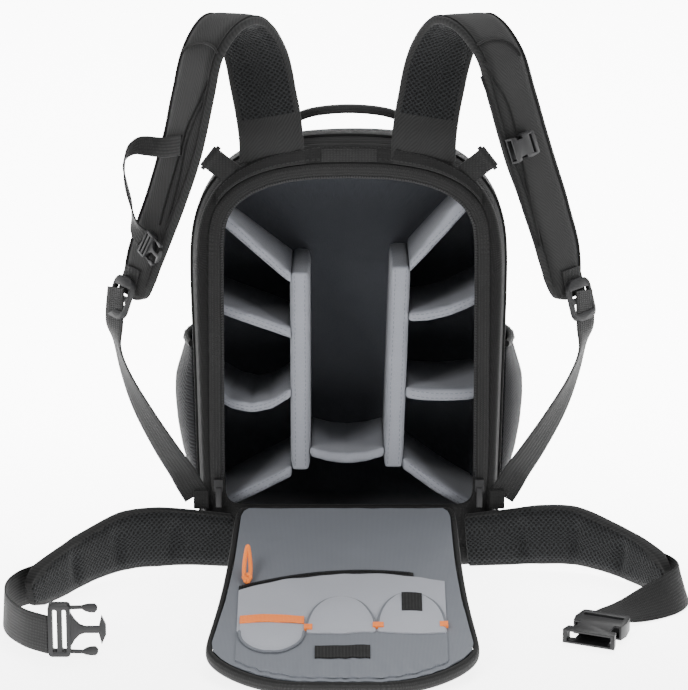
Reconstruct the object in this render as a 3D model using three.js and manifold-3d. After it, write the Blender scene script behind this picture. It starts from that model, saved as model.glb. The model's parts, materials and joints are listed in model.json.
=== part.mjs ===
import * as THREE from 'three';
import { mergeVertices } from 'three/addons/utils/BufferGeometryUtils.js';
import Module from 'manifold-3d';

// A camera backpack that stands on its base, with the padded panel on its back open and laid
// forward. Millimetres, +Z up, +X to the right, the wearer's side faces -Y. Inside the leaning
// group x runs across, y runs through the depth away from the wearer, and z runs up the back.

const wasm = await Module();
wasm.setup();

// Body
const LEAN_DEG = 8;
const BODY_HEIGHT = 424;
const BODY_HALF_WIDTH = 155;
const BODY_DEPTH = 185;
const WALL = 12;
const LINING = 2;
const BASE_CORNER = 18;
const FRONT_ROUND = 22;
const ARCH_POWER = 2.6;
const GAP = 0.3;

// Frame round the opening
const RIM_THICK = 6;
const RIM_ROUND = 3;
const OPENING_HALF_WIDTH = 121;
const OPENING_FOOT = 62;
const YOKE_HEIGHT = 41;
const OPENING_CROWN = BODY_HEIGHT - YOKE_HEIGHT;
const OPENING_CORNER = 14;
const ZIP_BAND_WIDTH = 15;
const ZIP_BAND_THICK = 2.5;
const SLIDER_WIDTH = 9;
const SLIDER_LENGTH = 12;
const SLIDER_THICK = 4;
const PATCH_WIDTH = 53;
const PATCH_HEIGHT = 13;
const PATCH_THICK = 1.5;
const PATCH_CLEAR = 1;

// Dividers
const DIVIDER_SETBACK = 14;
const COLUMN_THICK = 17;
const COLUMN_OFFSET = 48;

// Flap
const FLAP_LENGTH = 330;
const FLAP_HALF_WIDTH = 126;
const FLAP_THICK = 10;
const BINDING_WIDTH = 6;
const BINDING_THICK = 13;
const FLAP_DRIFT = 4;
const SHEET = 1;
const FLAP_ZIP_WIDTH = 8;
const PULL_RADIUS = 1.3;
const PULL_LENGTH = 46;
const PULL_RISE_DEG = 24;

// Side pockets
const POCKET_BULGE = 20;
const POCKET_FOOT = 60;
const POCKET_TOP = 216;
const POCKET_CLOTH = 2;

// Harness
const STRAP_WIDTH = 62;
const STRAP_THICK = 11;
const STRAP_ROOT = 74;
const STRAP_SPREAD = 125;
const STRAP_LOOP = 68;
const WEB_WIDTH = 25;
const WEB_THICK = 1.8;
const LOCK_WIDTH = 31;
const LOCK_LENGTH = 40;
const LOCK_THICK = 5;
const HANDLE_SPAN = 58;
const HANDLE_RISE = 20;
const HANDLE_RADIUS = 5;
const TAB_WIDTH = 22;
const TAB_LENGTH = 22;
const TAB_SEWN = 8;
const BAR_RADIUS = 2.3;

// Belt
const BELT_HEIGHT = 61;
const BELT_THICK = 16;
const BELT_REACH = 188;
const BELT_FORWARD = 100;
const BELT_ROOT = 114;
const BELT_WEB_WIDTH = 38;
const BUCKLE_WIDTH = 51;
const BUCKLE_LENGTH = 54;
const BUCKLE_THICK = 10;
const WEB_CLEAR = 1.5;

const lean = THREE.MathUtils.degToRad(LEAN_DEG);
const BASE_DEPTH = BODY_DEPTH * 0.84;
const BASE_CENTRE = BASE_DEPTH / 2 / Math.cos(lean);
const RIM_FRONT = -(GAP + RIM_THICK);

// Row frame of a place given in the leaning group, and the other way round.
const leaned = (x, d, h) => {
  const y = d * Math.cos(lean) + h * Math.sin(lean);
  return new THREE.Vector3(x, y, h * Math.cos(lean) - d * Math.sin(lean));
};

const lerp = THREE.MathUtils.lerp;
const sum = (a, b) => a.clone().add(b);

// Value of one column of a table at a share along it, straight between the rows.
function tableValue(table, key, column, share) {
  const last = table.length - 1;
  if (share <= table[0][key]) return table[0][column];
  if (share >= table[last][key]) return table[last][column];
  const next = table.findIndex((row) => row[key] > share);
  const a = table[next - 1];
  const b = table[next];
  return lerp(a[column], b[column], (share - a[key]) / (b[key] - a[key]));
}

// Closed geometry from vertices and triangles, turned so that its faces look outwards.
function closedGeometry(points, triangles) {
  const edgeA = new THREE.Vector3();
  const edgeB = new THREE.Vector3();
  let volume = 0;
  for (const [a, b, c] of triangles) {
    edgeA.copy(points[b]).cross(points[c]);
    edgeB.copy(points[a]);
    volume += edgeA.dot(edgeB);
  }
  const index = triangles.flatMap(([a, b, c]) => (volume < 0 ? [a, c, b] : [a, b, c]));
  const geometry = new THREE.BufferGeometry();
  geometry.setAttribute('position', new THREE.Float32BufferAttribute(points.flatMap((p) => p.toArray()), 3));
  geometry.setIndex(index);
  return geometry;
}

// Solid through rings of equal length. The ends are closed by a fan, or the last ring meets the first.
function ringBody(rings, isLoop = false) {
  const count = rings[0].length;
  const points = rings.flat();
  const triangles = [];
  const last = isLoop ? rings.length : rings.length - 1;
  for (let i = 0; i < last; i++) {
    for (let j = 0; j < count; j++) {
      const a = i * count + j;
      const b = i * count + ((j + 1) % count);
      const c = ((i + 1) % rings.length) * count + j;
      const d = ((i + 1) % rings.length) * count + ((j + 1) % count);
      triangles.push([a, b, d], [a, d, c]);
    }
  }
  if (!isLoop) {
    for (const end of [0, rings.length - 1]) {
      const centre = rings[end].reduce(sum, new THREE.Vector3()).divideScalar(count);
      points.push(centre);
      for (let j = 0; j < count; j++) {
        const pair = [end * count + j, end * count + ((j + 1) % count)];
        if (end === 0) pair.reverse();
        triangles.push([...pair, points.length - 1]);
      }
    }
  }
  return closedGeometry(points, triangles);
}

// Solid between two grids of places that face each other, with walls round their four edges.
function sheetBody(front, back) {
  const rows = front.length;
  const columns = front[0].length;
  const points = [...front.flat(), ...back.flat()];
  const shift = rows * columns;
  const triangles = [];
  for (let i = 0; i < rows - 1; i++) {
    for (let j = 0; j < columns - 1; j++) {
      const a = i * columns + j;
      const b = a + 1;
      const c = a + columns;
      const d = c + 1;
      triangles.push([a, b, d], [a, d, c]);
      triangles.push([a + shift, d + shift, b + shift], [a + shift, c + shift, d + shift]);
    }
  }
  const edge = [];
  for (let j = 0; j < columns - 1; j++) edge.push([j + 1, j]);
  for (let i = 0; i < rows - 1; i++) edge.push([i * columns, (i + 1) * columns]);
  for (let j = 0; j < columns - 1; j++) edge.push([(rows - 1) * columns + j, (rows - 1) * columns + j + 1]);
  for (let i = 0; i < rows - 1; i++) edge.push([(i + 2) * columns - 1, (i + 1) * columns - 1]);
  for (const [a, b] of edge) triangles.push([a, b, b + shift], [a, b + shift, a + shift]);
  return closedGeometry(points, triangles);
}

// Joins and cuts of closed geometries.
function asSolid(geometry) {
  const bare = geometry.index ? geometry.toNonIndexed() : geometry.clone();
  bare.deleteAttribute('normal');
  bare.deleteAttribute('uv');
  const merged = mergeVertices(bare, 1e-3);
  const vertProperties = merged.attributes.position.array;
  const triVerts = new Uint32Array(merged.index.array);
  return new wasm.Manifold(new wasm.Mesh({ numProp: 3, vertProperties, triVerts }));
}

function asGeometry(solid) {
  const mesh = solid.getMesh();
  const geometry = new THREE.BufferGeometry();
  geometry.setAttribute('position', new THREE.BufferAttribute(mesh.vertProperties, 3));
  geometry.setIndex(new THREE.BufferAttribute(mesh.triVerts, 1));
  return geometry;
}

const joined = (pieces) => asGeometry(pieces.map(asSolid).reduce((a, b) => a.add(b)));
const cutBy = (body, tools) => asGeometry(tools.map(asSolid).reduce((a, b) => a.subtract(b), asSolid(body)));

// Box from its lowest and highest corners.
function boxBetween(low, high) {
  const size = high.map((v, i) => v - low[i]);
  const middle = high.map((v, i) => (v + low[i]) / 2);
  return new THREE.BoxGeometry(...size).translate(...middle);
}

// Plate of a drawn outline, its thickness centred on the drawing plane.
function plate(shape, thick, curveSegments = 5) {
  const settings = { depth: thick, bevelEnabled: false, curveSegments };
  return new THREE.ExtrudeGeometry(shape, settings).translate(0, 0, -thick / 2);
}

function roundedRectangle(x0, y0, x1, y1, radius, Kind = THREE.Shape) {
  const s = new Kind();
  s.moveTo(x0 + radius, y0);
  s.lineTo(x1 - radius, y0);
  s.absarc(x1 - radius, y0 + radius, radius, -Math.PI / 2, 0);
  s.lineTo(x1, y1 - radius);
  s.absarc(x1 - radius, y1 - radius, radius, 0, Math.PI / 2);
  s.lineTo(x0 + radius, y1);
  s.absarc(x0 + radius, y1 - radius, radius, Math.PI / 2, Math.PI);
  s.lineTo(x0, y0 + radius);
  s.absarc(x0 + radius, y0 + radius, radius, Math.PI, Math.PI * 1.5);
  return s;
}

// Section of a padded band: a flat oval with blunt edges, in halves of its width and thickness.
const PAD_POINTS = 10;
const PAD_SECTION = Array.from({ length: PAD_POINTS }, (_, i) => {
  const turn = ((i + 0.5) / PAD_POINTS) * Math.PI * 2;
  const blunt = (v) => Math.sign(v) * Math.abs(v) ** 0.5;
  return [blunt(Math.cos(turn)), blunt(Math.sin(turn))];
});
const FLAT_SECTION = [[1, 1], [-1, 1], [-1, -1], [1, -1]];

// Band along stations with a middle, a direction across the width, a width and a thickness.
function band(stations, section) {
  const rings = stations.map((station, i) => {
    const before = stations[Math.max(i - 1, 0)].at;
    const after = stations[Math.min(i + 1, stations.length - 1)].at;
    const along = after.clone().sub(before).normalize();
    const face = station.wide.clone().cross(along).normalize();
    const wide = along.clone().cross(face).normalize();
    return section.map(([w, t]) =>
      station.at.clone()
        .addScaledVector(wide, (w * station.width) / 2)
        .addScaledVector(face, (t * station.thick) / 2));
  });
  return ringBody(rings);
}

// Smooth stations at even steps through a few chosen ones.
function smoothStations(chosen, steps) {
  const path = new THREE.CatmullRomCurve3(chosen.map((s) => s.at), false, 'centripetal');
  const across = new THREE.CatmullRomCurve3(chosen.map((s) => s.wide), false, 'catmullrom', 0.4);
  return Array.from({ length: steps + 1 }, (_, i) => {
    const t = i / steps;
    const place = t * (chosen.length - 1);
    const k = Math.min(Math.floor(place), chosen.length - 2);
    return {
      at: path.getPoint(t),
      wide: across.getPoint(t).normalize(),
      width: lerp(chosen[k].width, chosen[k + 1].width, place - k),
      thick: lerp(chosen[k].thick, chosen[k + 1].thick, place - k),
    };
  });
}

// Outline of the pack seen from behind: flat foot, round corners, tapered sides and a blunt arch.
function outline({ half, foot, spring, crown, corner, taper = 1 }) {
  const narrow = half * taper;
  const right = [[(narrow - corner) / 2, foot]];
  for (const turn of [-90, -60, -30, 0]) {
    const a = THREE.MathUtils.degToRad(turn);
    right.push([narrow - corner + corner * Math.cos(a), foot + corner + corner * Math.sin(a)]);
  }
  for (const share of [1 / 3, 2 / 3]) {
    right.push([lerp(narrow, half, share), lerp(foot + corner, spring, share)]);
  }
  for (let k = 0; k < 8; k++) {
    const a = ((k / 8) * Math.PI) / 2;
    const x = half * Math.cos(a) ** (2 / ARCH_POWER);
    right.push([x, spring + (crown - spring) * Math.sin(a) ** (2 / ARCH_POWER)]);
  }
  const left = right.map(([x, h]) => [-x, h]).reverse();
  return [[0, foot], ...right, [0, crown], ...left];
}

// Sections of the body through its depth, as shares of depth, width, height and front rounding.
const BODY_SECTIONS = [
  { depth: 0, width: 0.965, crown: 0.985, lift: 0 },
  { depth: 0.06, width: 0.985, crown: 0.997, lift: 0 },
  { depth: 0.14, width: 0.995, crown: 1, lift: 0 },
  { depth: 0.3, width: 1, crown: 1, lift: 0 },
  { depth: 0.45, width: 1, crown: 0.995, lift: 0 },
  { depth: 0.6, width: 0.995, crown: 0.985, lift: 0 },
  { depth: 0.72, width: 0.985, crown: 0.972, lift: 0 },
  { depth: 0.84, width: 0.965, crown: 0.95, lift: 0 },
  { depth: 0.94, width: 0.92, crown: 0.91, lift: 0.28 },
  { depth: 1, width: 0.84, crown: 0.86, lift: 1 },
];
const SPRING_SHARE = 0.708;
const TAPER = 0.945;

function bodyOutline(d, inset) {
  const share = d / BODY_DEPTH;
  const tall = BODY_HEIGHT * tableValue(BODY_SECTIONS, 'depth', 'crown', share);
  return outline({
    half: BODY_HALF_WIDTH * tableValue(BODY_SECTIONS, 'depth', 'width', share) - inset,
    foot: d * Math.tan(lean) + FRONT_ROUND * tableValue(BODY_SECTIONS, 'depth', 'lift', share) + inset,
    spring: tall * SPRING_SHARE,
    crown: tall - inset,
    corner: BASE_CORNER,
    taper: TAPER,
  });
}

// Half width of an outline at a height, on its straight edges.
function sideAt(points, h) {
  const right = points.slice(2, 17).filter((p, i, all) => i === 0 || p[1] > all[i - 1][1]);
  const k = Math.min(Math.max(right.findIndex((p) => p[1] > h), 1), right.length - 1);
  const [a, b] = [right[k - 1], right[k]];
  return lerp(a[0], b[0], (h - a[1]) / (b[1] - a[1]));
}

const ringAt = (points, d) => points.map(([x, h]) => new THREE.Vector3(x, d, h));

// Cup of even wall, open towards the wearer.
function cup(outerInset, innerInset) {
  const outer = BODY_SECTIONS.map((s) => s.depth * (BODY_DEPTH - outerInset));
  const inner = BODY_SECTIONS.map((s) => s.depth * (BODY_DEPTH - innerInset)).reverse();
  return ringBody([
    ...inner.map((d) => ringAt(bodyOutline(d, innerInset), d)),
    ...outer.map((d) => ringAt(bodyOutline(d, outerInset), d)),
  ]);
}

// Edge of the opening, moved outwards by a margin.
const openingOutline = (margin) => outline({
  half: OPENING_HALF_WIDTH + margin,
  foot: OPENING_FOOT - margin,
  spring: lerp(OPENING_FOOT, OPENING_CROWN, 0.8),
  crown: OPENING_CROWN + margin,
  corner: OPENING_CORNER,
});

function backRim() {
  const edge = bodyOutline(0, 0);
  const inset = bodyOutline(0, RIM_ROUND);
  const hole = openingOutline(0);
  return ringBody([
    ringAt(hole, RIM_FRONT),
    ringAt(inset, RIM_FRONT),
    ringAt(edge, RIM_FRONT + RIM_ROUND),
    ringAt(edge, -GAP),
    ringAt(hole, -GAP),
  ], true);
}

// Raised zip band up one side, over the arch and down the other side.
function zipBand() {
  const near = openingOutline(0).slice(5, -4);
  const far = openingOutline(ZIP_BAND_WIDTH).slice(5, -4);
  const high = RIM_FRONT - GAP - ZIP_BAND_THICK;
  const low = RIM_FRONT - GAP;
  return ringBody(near.map(([x, h], i) => [
    new THREE.Vector3(x, low, h),
    new THREE.Vector3(x, high, h),
    new THREE.Vector3(far[i][0], high, far[i][1]),
    new THREE.Vector3(far[i][0], low, far[i][1]),
  ]));
}

function namePatch() {
  const foot = OPENING_CROWN + ZIP_BAND_WIDTH + PATCH_CLEAR;
  const back = RIM_FRONT - GAP;
  const low = [-PATCH_WIDTH / 2, back - PATCH_THICK, foot];
  const high = [PATCH_WIDTH / 2, back, foot + PATCH_HEIGHT];
  return boxBetween(low, high);
}

// The dividers run from just inside the opening to the front wall of the lining.
const LINER_INSET = WALL + GAP + LINING;
const LINER_FRONT = BODY_DEPTH - LINER_INSET;
const DIVIDER_DEPTHS = [
  DIVIDER_SETBACK,
  ...BODY_SECTIONS.filter((s, i) => i % 2 === 0)
    .map((s) => s.depth * LINER_FRONT)
    .filter((d) => d > DIVIDER_SETBACK + 1 && d < LINER_FRONT - 1),
  LINER_FRONT - GAP,
];

// The two upright dividers: heights as shares of the body's, places across as shares of their offset.
const COLUMNS = {
  left: { side: -1, top: 0.681, foot: 0.217, topAcross: 1, footAcross: 0.99 },
  right: { side: 1, top: 0.695, foot: 0.222, topAcross: 1.05, footAcross: 0.9 },
};

function columnAcross(column, h) {
  const share = (h / BODY_HEIGHT - column.foot) / (column.top - column.foot);
  return column.side * COLUMN_OFFSET * lerp(column.footAcross, column.topAcross, share);
}

function columnBody(column) {
  const heights = [column.foot, column.top].map((s) => s * BODY_HEIGHT);
  const face = (sign) => heights.map((h) =>
    [DIVIDER_DEPTHS[0], LINER_FRONT - GAP].map((d) =>
      new THREE.Vector3(columnAcross(column, h) + (sign * COLUMN_THICK) / 2, d, h)));
  return sheetBody(face(1), face(-1));
}

// Cross dividers from the side wall to a column. Heights, sag and thickness are shares of the body height.
const SIDE_DIVIDERS = [
  { name: 'divider_left_top', column: 'left', wall: 0.825, inner: 0.664, sag: 0, thick: 0.027 },
  { name: 'divider_left_high', column: 'left', wall: 0.606, inner: 0.538, sag: 0, thick: 0.025 },
  { name: 'divider_left_low', column: 'left', wall: 0.402, inner: 0.4, sag: -0.038, thick: 0.023 },
  { name: 'divider_left_foot', column: 'left', wall: 0.126, inner: 0.214, sag: 0, thick: 0.027 },
  { name: 'divider_right_top', column: 'right', wall: 0.868, inner: 0.69, sag: 0, thick: 0.029 },
  { name: 'divider_right_high', column: 'right', wall: 0.637, inner: 0.577, sag: -0.016, thick: 0.024 },
  { name: 'divider_right_low', column: 'right', wall: 0.403, inner: 0.4, sag: -0.009, thick: 0.027 },
  { name: 'divider_right_foot', column: 'right', wall: 0.119, inner: 0.235, sag: -0.009, thick: 0.027 },
];
const CENTRE_DIVIDER = { height: 0.262, sag: -0.018, thick: 0.023 };

// Sagging strip between two ends that are given for each depth and each face.
function stripBody(endsAt, sag) {
  const steps = sag === 0 ? 1 : 4;
  const face = (sign) => DIVIDER_DEPTHS.map((d) => {
    const [from, to] = endsAt(d, sign);
    return Array.from({ length: steps + 1 }, (_, i) => {
      const t = i / steps;
      const x = lerp(from[0], to[0], t);
      return new THREE.Vector3(x, d, lerp(from[1], to[1], t) + sag * 4 * t * (1 - t));
    });
  });
  return sheetBody(face(1), face(-1));
}

function sideDivider(row) {
  const column = COLUMNS[row.column];
  const endsAt = (d, sign) => {
    const rise = (sign * row.thick * BODY_HEIGHT) / 2;
    const crown = tableValue(BODY_SECTIONS, 'depth', 'crown', d / BODY_DEPTH);
    const wallHeight = row.wall * BODY_HEIGHT * (row.wall > SPRING_SHARE ? crown : 1) + rise;
    const innerHeight = row.inner * BODY_HEIGHT + rise;
    const wall = column.side * (sideAt(bodyOutline(d, LINER_INSET), wallHeight) - GAP);
    const inner = columnAcross(column, innerHeight) + column.side * (COLUMN_THICK / 2 + GAP);
    return [[wall, wallHeight], [inner, innerHeight]];
  };
  return stripBody(endsAt, row.sag * BODY_HEIGHT);
}

function centreDivider() {
  const endsAt = (d, sign) => {
    const h = (CENTRE_DIVIDER.height + (sign * CENTRE_DIVIDER.thick) / 2) * BODY_HEIGHT;
    const reach = COLUMN_THICK / 2 + GAP;
    return [[columnAcross(COLUMNS.left, h) + reach, h], [columnAcross(COLUMNS.right, h) - reach, h]];
  };
  return stripBody(endsAt, CENTRE_DIVIDER.sag * BODY_HEIGHT);
}

// The flap is sewn along the foot of the opening and slopes down to the ground at its free end.
const hinge = leaned(0, RIM_FRONT - GAP, OPENING_FOOT - FLAP_THICK / 2);
const flapFall = Math.asin((hinge.z - BINDING_THICK / 2 - GAP) / FLAP_LENGTH);
const hingeSet = (BINDING_THICK / 2) * (Math.sin(flapFall) + Math.cos(flapFall) * Math.tan(lean)) + GAP;

// Shape of the flap: shares of its length, of its largest half width and of its sideways drift.
const FLAP_ROWS = [
  { along: 0, half: 0.8 },
  { along: 0.012, half: 0.835 },
  { along: 0.045, half: 0.857 },
  { along: 0.33, half: 0.88 },
  { along: 0.55, half: 0.923 },
  { along: 0.7, half: 0.97 },
  { along: 0.79, half: 1 },
  { along: 0.835, half: 0.985 },
  { along: 0.88, half: 0.92 },
  { along: 0.925, half: 0.81 },
  { along: 0.965, half: 0.66 },
  { along: 0.99, half: 0.5 },
  { along: 1, half: 0.36 },
];

// Place on the flap from the distance across, the distance from the hinge and the lift off its middle.
function onFlap(x, s, lift) {
  const y = hinge.y - s * Math.cos(flapFall) - lift * Math.sin(flapFall);
  return new THREE.Vector3(x, y, hinge.z - s * Math.sin(flapFall) + lift * Math.cos(flapFall));
}

const flapMiddle = (s) => -FLAP_DRIFT * (0.75 + s / FLAP_LENGTH);

function flapRow(row, inset) {
  const s = lerp(hingeSet + inset, FLAP_LENGTH - inset, row.along);
  return { s, half: row.half * FLAP_HALF_WIDTH - inset, middle: flapMiddle(s) };
}

function flapEdge(inset) {
  const rows = FLAP_ROWS.map((row) => flapRow(row, inset));
  const right = rows.map((r) => [r.middle + r.half, r.s]);
  const left = rows.map((r) => [r.middle - r.half, r.s]).reverse();
  return [...right, ...left];
}

function flapPad() {
  const shares = [-1, -0.9, -0.45, 0, 0.45, 0.9, 1];
  const puff = (share, row) => (Math.abs(share) === 1 || row.along === 0 || row.along === 1 ? 0.7 : 1);
  const face = (sign) => FLAP_ROWS.map((row) => {
    const r = flapRow(row, BINDING_WIDTH + GAP);
    return shares.map((share) =>
      onFlap(r.middle + share * r.half, r.s, (sign * puff(share, row) * FLAP_THICK) / 2));
  });
  return sheetBody(face(1), face(-1));
}

function flapBinding() {
  const outer = flapEdge(0);
  const inner = flapEdge(BINDING_WIDTH);
  const half = BINDING_THICK / 2;
  return ringBody(outer.map(([x, s], i) => [
    onFlap(x, s, -half * 0.8),
    onFlap(x, s, half * 0.8),
    onFlap(lerp(x, inner[i][0], 0.3), lerp(s, inner[i][1], 0.3), half),
    onFlap(inner[i][0], inner[i][1], half),
    onFlap(inner[i][0], inner[i][1], -half),
    onFlap(lerp(x, inner[i][0], 0.3), lerp(s, inner[i][1], 0.3), -half),
  ]), true);
}

// Distance from the hinge at which the flap, less an inset, ends at a place across.
function flapEndAt(x, inset) {
  const rows = FLAP_ROWS.map((row) => flapRow(row, inset)).reverse();
  const k = rows.findIndex((r) => r.half >= Math.abs(x - r.middle));
  if (k <= 0) return rows[0].s;
  const [a, b] = [rows[k - 1], rows[k]];
  const reach = Math.abs(x - b.middle);
  return lerp(a.s, b.s, (reach - a.half) / (b.half - a.half));
}

// Thin sheet on the flap between two edges that depend on the place across.
function flapSheet({ from, to, near, far, level, thick, steps = 8 }) {
  const low = FLAP_THICK / 2 + GAP + level * (SHEET + GAP);
  const face = (lift) => Array.from({ length: steps + 1 }, (_, i) => {
    const x = lerp(from, to, i / steps);
    return [0, 0.5, 1].map((t) => onFlap(x, lerp(near(x), far(x), t), lift));
  });
  return sheetBody(face(low + thick), face(low));
}

// The flap's own zip runs in a shallow curve below its middle.
const ZIP_LEVEL = 0.405;
const ZIP_SAG = 0.092;
const zipFrom = -0.82 * FLAP_HALF_WIDTH;
const zipTo = 0.48 * FLAP_HALF_WIDTH;
const zipLine = (x) => {
  const share = (x - 0.1 * FLAP_HALF_WIDTH) / (0.92 * FLAP_HALF_WIDTH);
  return FLAP_LENGTH * (ZIP_LEVEL + ZIP_SAG * share * share);
};
const LINING_INSET = BINDING_WIDTH + 2 * GAP;

function flapLining() {
  const shares = [-1, -0.5, 0, 0.5, 1];
  const face = (lift) => FLAP_ROWS.map((row) => {
    const r = flapRow(row, LINING_INSET);
    return shares.map((share) => onFlap(r.middle + share * r.half, r.s, lift));
  });
  const low = FLAP_THICK / 2 + GAP;
  return sheetBody(face(low + SHEET), face(low));
}

const cardPanel = () => flapSheet({
  from: zipFrom,
  to: 0.71 * FLAP_HALF_WIDTH,
  near: (x) => zipLine(x) + FLAP_ZIP_WIDTH / 2 + GAP,
  far: (x) => flapEndAt(x, LINING_INSET + 4),
  level: 1,
  thick: SHEET,
  steps: 12,
});

const flapZip = () => flapSheet({
  from: zipFrom,
  to: zipTo,
  near: (x) => zipLine(x) - FLAP_ZIP_WIDTH / 2,
  far: (x) => zipLine(x) + FLAP_ZIP_WIDTH / 2,
  level: 1,
  thick: SHEET,
  steps: 12,
});

// Card pockets on the panel: ends as shares of the flap's half width, edges as shares of its length.
const CARD_POCKETS = [
  { name: 'card_pocket_left', from: -0.8, to: -0.33, top: 0.66, dome: -0.01, foot: 0.74, bulge: 0.11 },
  { name: 'card_pocket_middle', from: -0.31, to: 0.19, top: 0.72, dome: 0.16, foot: 0.73, bulge: 0.01 },
  { name: 'card_pocket_right', from: 0.21, to: 0.7, top: 0.7, dome: 0.165, foot: 0.72, bulge: 0.01 },
];

function pocketSpan(row) {
  const from = row.from * FLAP_HALF_WIDTH;
  const to = row.to * FLAP_HALF_WIDTH;
  const round = (x) => Math.sqrt(Math.max(0, 1 - (2 * (x - from) / (to - from) - 1) ** 2));
  return {
    from,
    to,
    near: (x) => FLAP_LENGTH * (row.top - row.dome * round(x)),
    far: (x) => FLAP_LENGTH * (row.foot + row.bulge * round(x)),
  };
}

const cardPocket = (row) => flapSheet({ ...pocketSpan(row), level: 2, thick: SHEET, steps: 10 });

// Bright band along the mouth of the left card pocket.
function pocketBand() {
  const span = pocketSpan(CARD_POCKETS[0]);
  return flapSheet({ ...span, far: (x) => span.near(x) + 0.038 * FLAP_LENGTH, level: 3, thick: SHEET });
}

// Small oblong label laid on the flap, from its middle and size in shares.
const flapLabel = (across, along, wide, long, level) => flapSheet({
  from: (across - wide / 2) * FLAP_HALF_WIDTH,
  to: (across + wide / 2) * FLAP_HALF_WIDTH,
  near: () => (along - long / 2) * FLAP_LENGTH,
  far: () => (along + long / 2) * FLAP_LENGTH,
  level,
  thick: SHEET,
  steps: 2,
});

// Cord loop on the slider of the flap's zip, standing up a little towards the hinge.
function zipPull() {
  const s = new THREE.Shape();
  const half = PULL_LENGTH / 2;
  s.absellipse(0, half, 0.05 * FLAP_HALF_WIDTH, half, 0, Math.PI * 2);
  const hole = new THREE.Path();
  hole.absellipse(0, half, 0.025 * FLAP_HALF_WIDTH, half - 3 * PULL_RADIUS, 0, Math.PI * 2, true);
  s.holes.push(hole);
  const x = zipFrom + 0.06 * FLAP_HALF_WIDTH;
  const lift = FLAP_THICK / 2 + GAP + 2 * (SHEET + GAP) + PULL_RADIUS;
  const geometry = plate(s, 2 * PULL_RADIUS, 10);
  geometry.rotateX(flapFall + THREE.MathUtils.degToRad(PULL_RISE_DEG));
  const at = onFlap(x, zipLine(x) - 2, lift);
  return geometry.translate(at.x, at.y, at.z);
}

// Mesh pocket on each side of the body, open at the top: heights as shares of its own height.
const POCKET_ROWS = [
  { up: 0, bulge: 0.02 },
  { up: 0.1, bulge: 0.3 },
  { up: 0.28, bulge: 0.72 },
  { up: 0.45, bulge: 0.92 },
  { up: 0.62, bulge: 1 },
  { up: 0.76, bulge: 0.93 },
  { up: 0.9, bulge: 0.55 },
  { up: 1, bulge: 0.3 },
];

function sidePocket(side) {
  const depths = BODY_SECTIONS.map((s) => s.depth).filter((s) => s > 0.1 && s < 0.8);
  const face = (extra) => POCKET_ROWS.map((row) => {
    const h = lerp(POCKET_FOOT, POCKET_TOP, row.up);
    return depths.map((share, i) => {
      const t = i / (depths.length - 1);
      const d = share * BODY_DEPTH;
      const swell = POCKET_BULGE * row.bulge * Math.sin(Math.PI * t) ** 0.6;
      return new THREE.Vector3(side * (sideAt(bodyOutline(d, 0), h) + GAP + swell + extra), d, h);
    });
  });
  return sheetBody(face(POCKET_CLOTH), face(0));
}

// Path of a shoulder strap from its root to its lower end. Spread, loop and height are shares;
// turn is how far the width has turned from the pack's width, in degrees. The two straps hang a
// little differently.
const STRAP_ROWS = [
  { up: 0.938, left: 0, right: 0, loop: 0, turn: 0, wide: 1, across: 0 },
  { up: 1.01, left: 0.01, right: 0.01, loop: 0, turn: 0, wide: 1, across: 0 },
  { up: 1.085, left: 0.05, right: 0.05, loop: 0.02, turn: 2, wide: 1, across: 0 },
  { up: 1.18, left: 0.115, right: 0.12, loop: 0.1, turn: 8, wide: 1, across: 0 },
  { up: 1.262, left: 0.23, right: 0.25, loop: 0.34, turn: 32, wide: 1, across: 0 },
  { up: 1.262, left: 0.37, right: 0.4, loop: 0.66, turn: 44, wide: 1, across: 0 },
  { up: 1.2, left: 0.51, right: 0.56, loop: 0.93, turn: 50, wide: 1, across: 0 },
  { up: 1.11, left: 0.58, right: 0.65, loop: 1, turn: 50, wide: 1, across: 0 },
  { up: 0.99, left: 0.67, right: 0.77, loop: 1, turn: 50, wide: 1, across: 0 },
  { up: 0.875, left: 0.795, right: 0.9, loop: 1, turn: 50, wide: 0.96, across: 0 },
  { up: 0.765, left: 0.93, right: 1.01, loop: 1, turn: 50, wide: 0.9, across: 0 },
  { up: 0.7, left: 1.01, right: 1.07, loop: 1, turn: 50, wide: 0.74, across: 0.08 },
  { up: 0.655, left: 1.03, right: 1.09, loop: 1, turn: 50, wide: 0.4, across: 0.17 },
];
const STRAP_SIDES = {
  left: { side: -1, root: 1, twist: 1.04 },
  right: { side: 1, root: 0.96, twist: 0.88 },
};

function strapStations(name) {
  const { side, root, twist } = STRAP_SIDES[name];
  const seat = RIM_FRONT - GAP - STRAP_THICK / 2;
  return STRAP_ROWS.map((row) => {
    const turn = THREE.MathUtils.degToRad(row.turn * twist);
    const wide = new THREE.Vector3(Math.cos(turn), side * Math.sin(turn), 0);
    const at = new THREE.Vector3(
      side * (STRAP_ROOT * root + STRAP_SPREAD * row[name]),
      seat - STRAP_LOOP * row.loop,
      BODY_HEIGHT * row.up,
    );
    at.addScaledVector(wide, -side * row.across * STRAP_WIDTH);
    return { at, wide, width: STRAP_WIDTH * row.wide, thick: STRAP_THICK };
  });
}

const shoulderStrap = (name) => band(smoothStations(strapStations(name), 26), PAD_SECTION);

// Frame of a strap at one of its rows: middle, outwards across its width, off its outer face, downwards.
function strapFrame(name, index) {
  const stations = strapStations(name);
  const { side } = STRAP_SIDES[name];
  const down = stations[index + 1].at.clone().sub(stations[index - 1].at).normalize();
  const face = down.clone().cross(stations[index].wide).multiplyScalar(side).normalize();
  if (face.y > 0) face.negate();
  const out = face.clone().cross(down).multiplyScalar(side);
  if (out.x * side < 0) out.negate();
  return { at: stations[index].at, out, face, down, side };
}

function fromFrame(frame, out, off, down) {
  return frame.at.clone()
    .addScaledVector(frame.out, out)
    .addScaledVector(frame.face, off)
    .addScaledVector(frame.down, down);
}

const LAST_FULL_ROW = STRAP_ROWS.length - 3;

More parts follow.
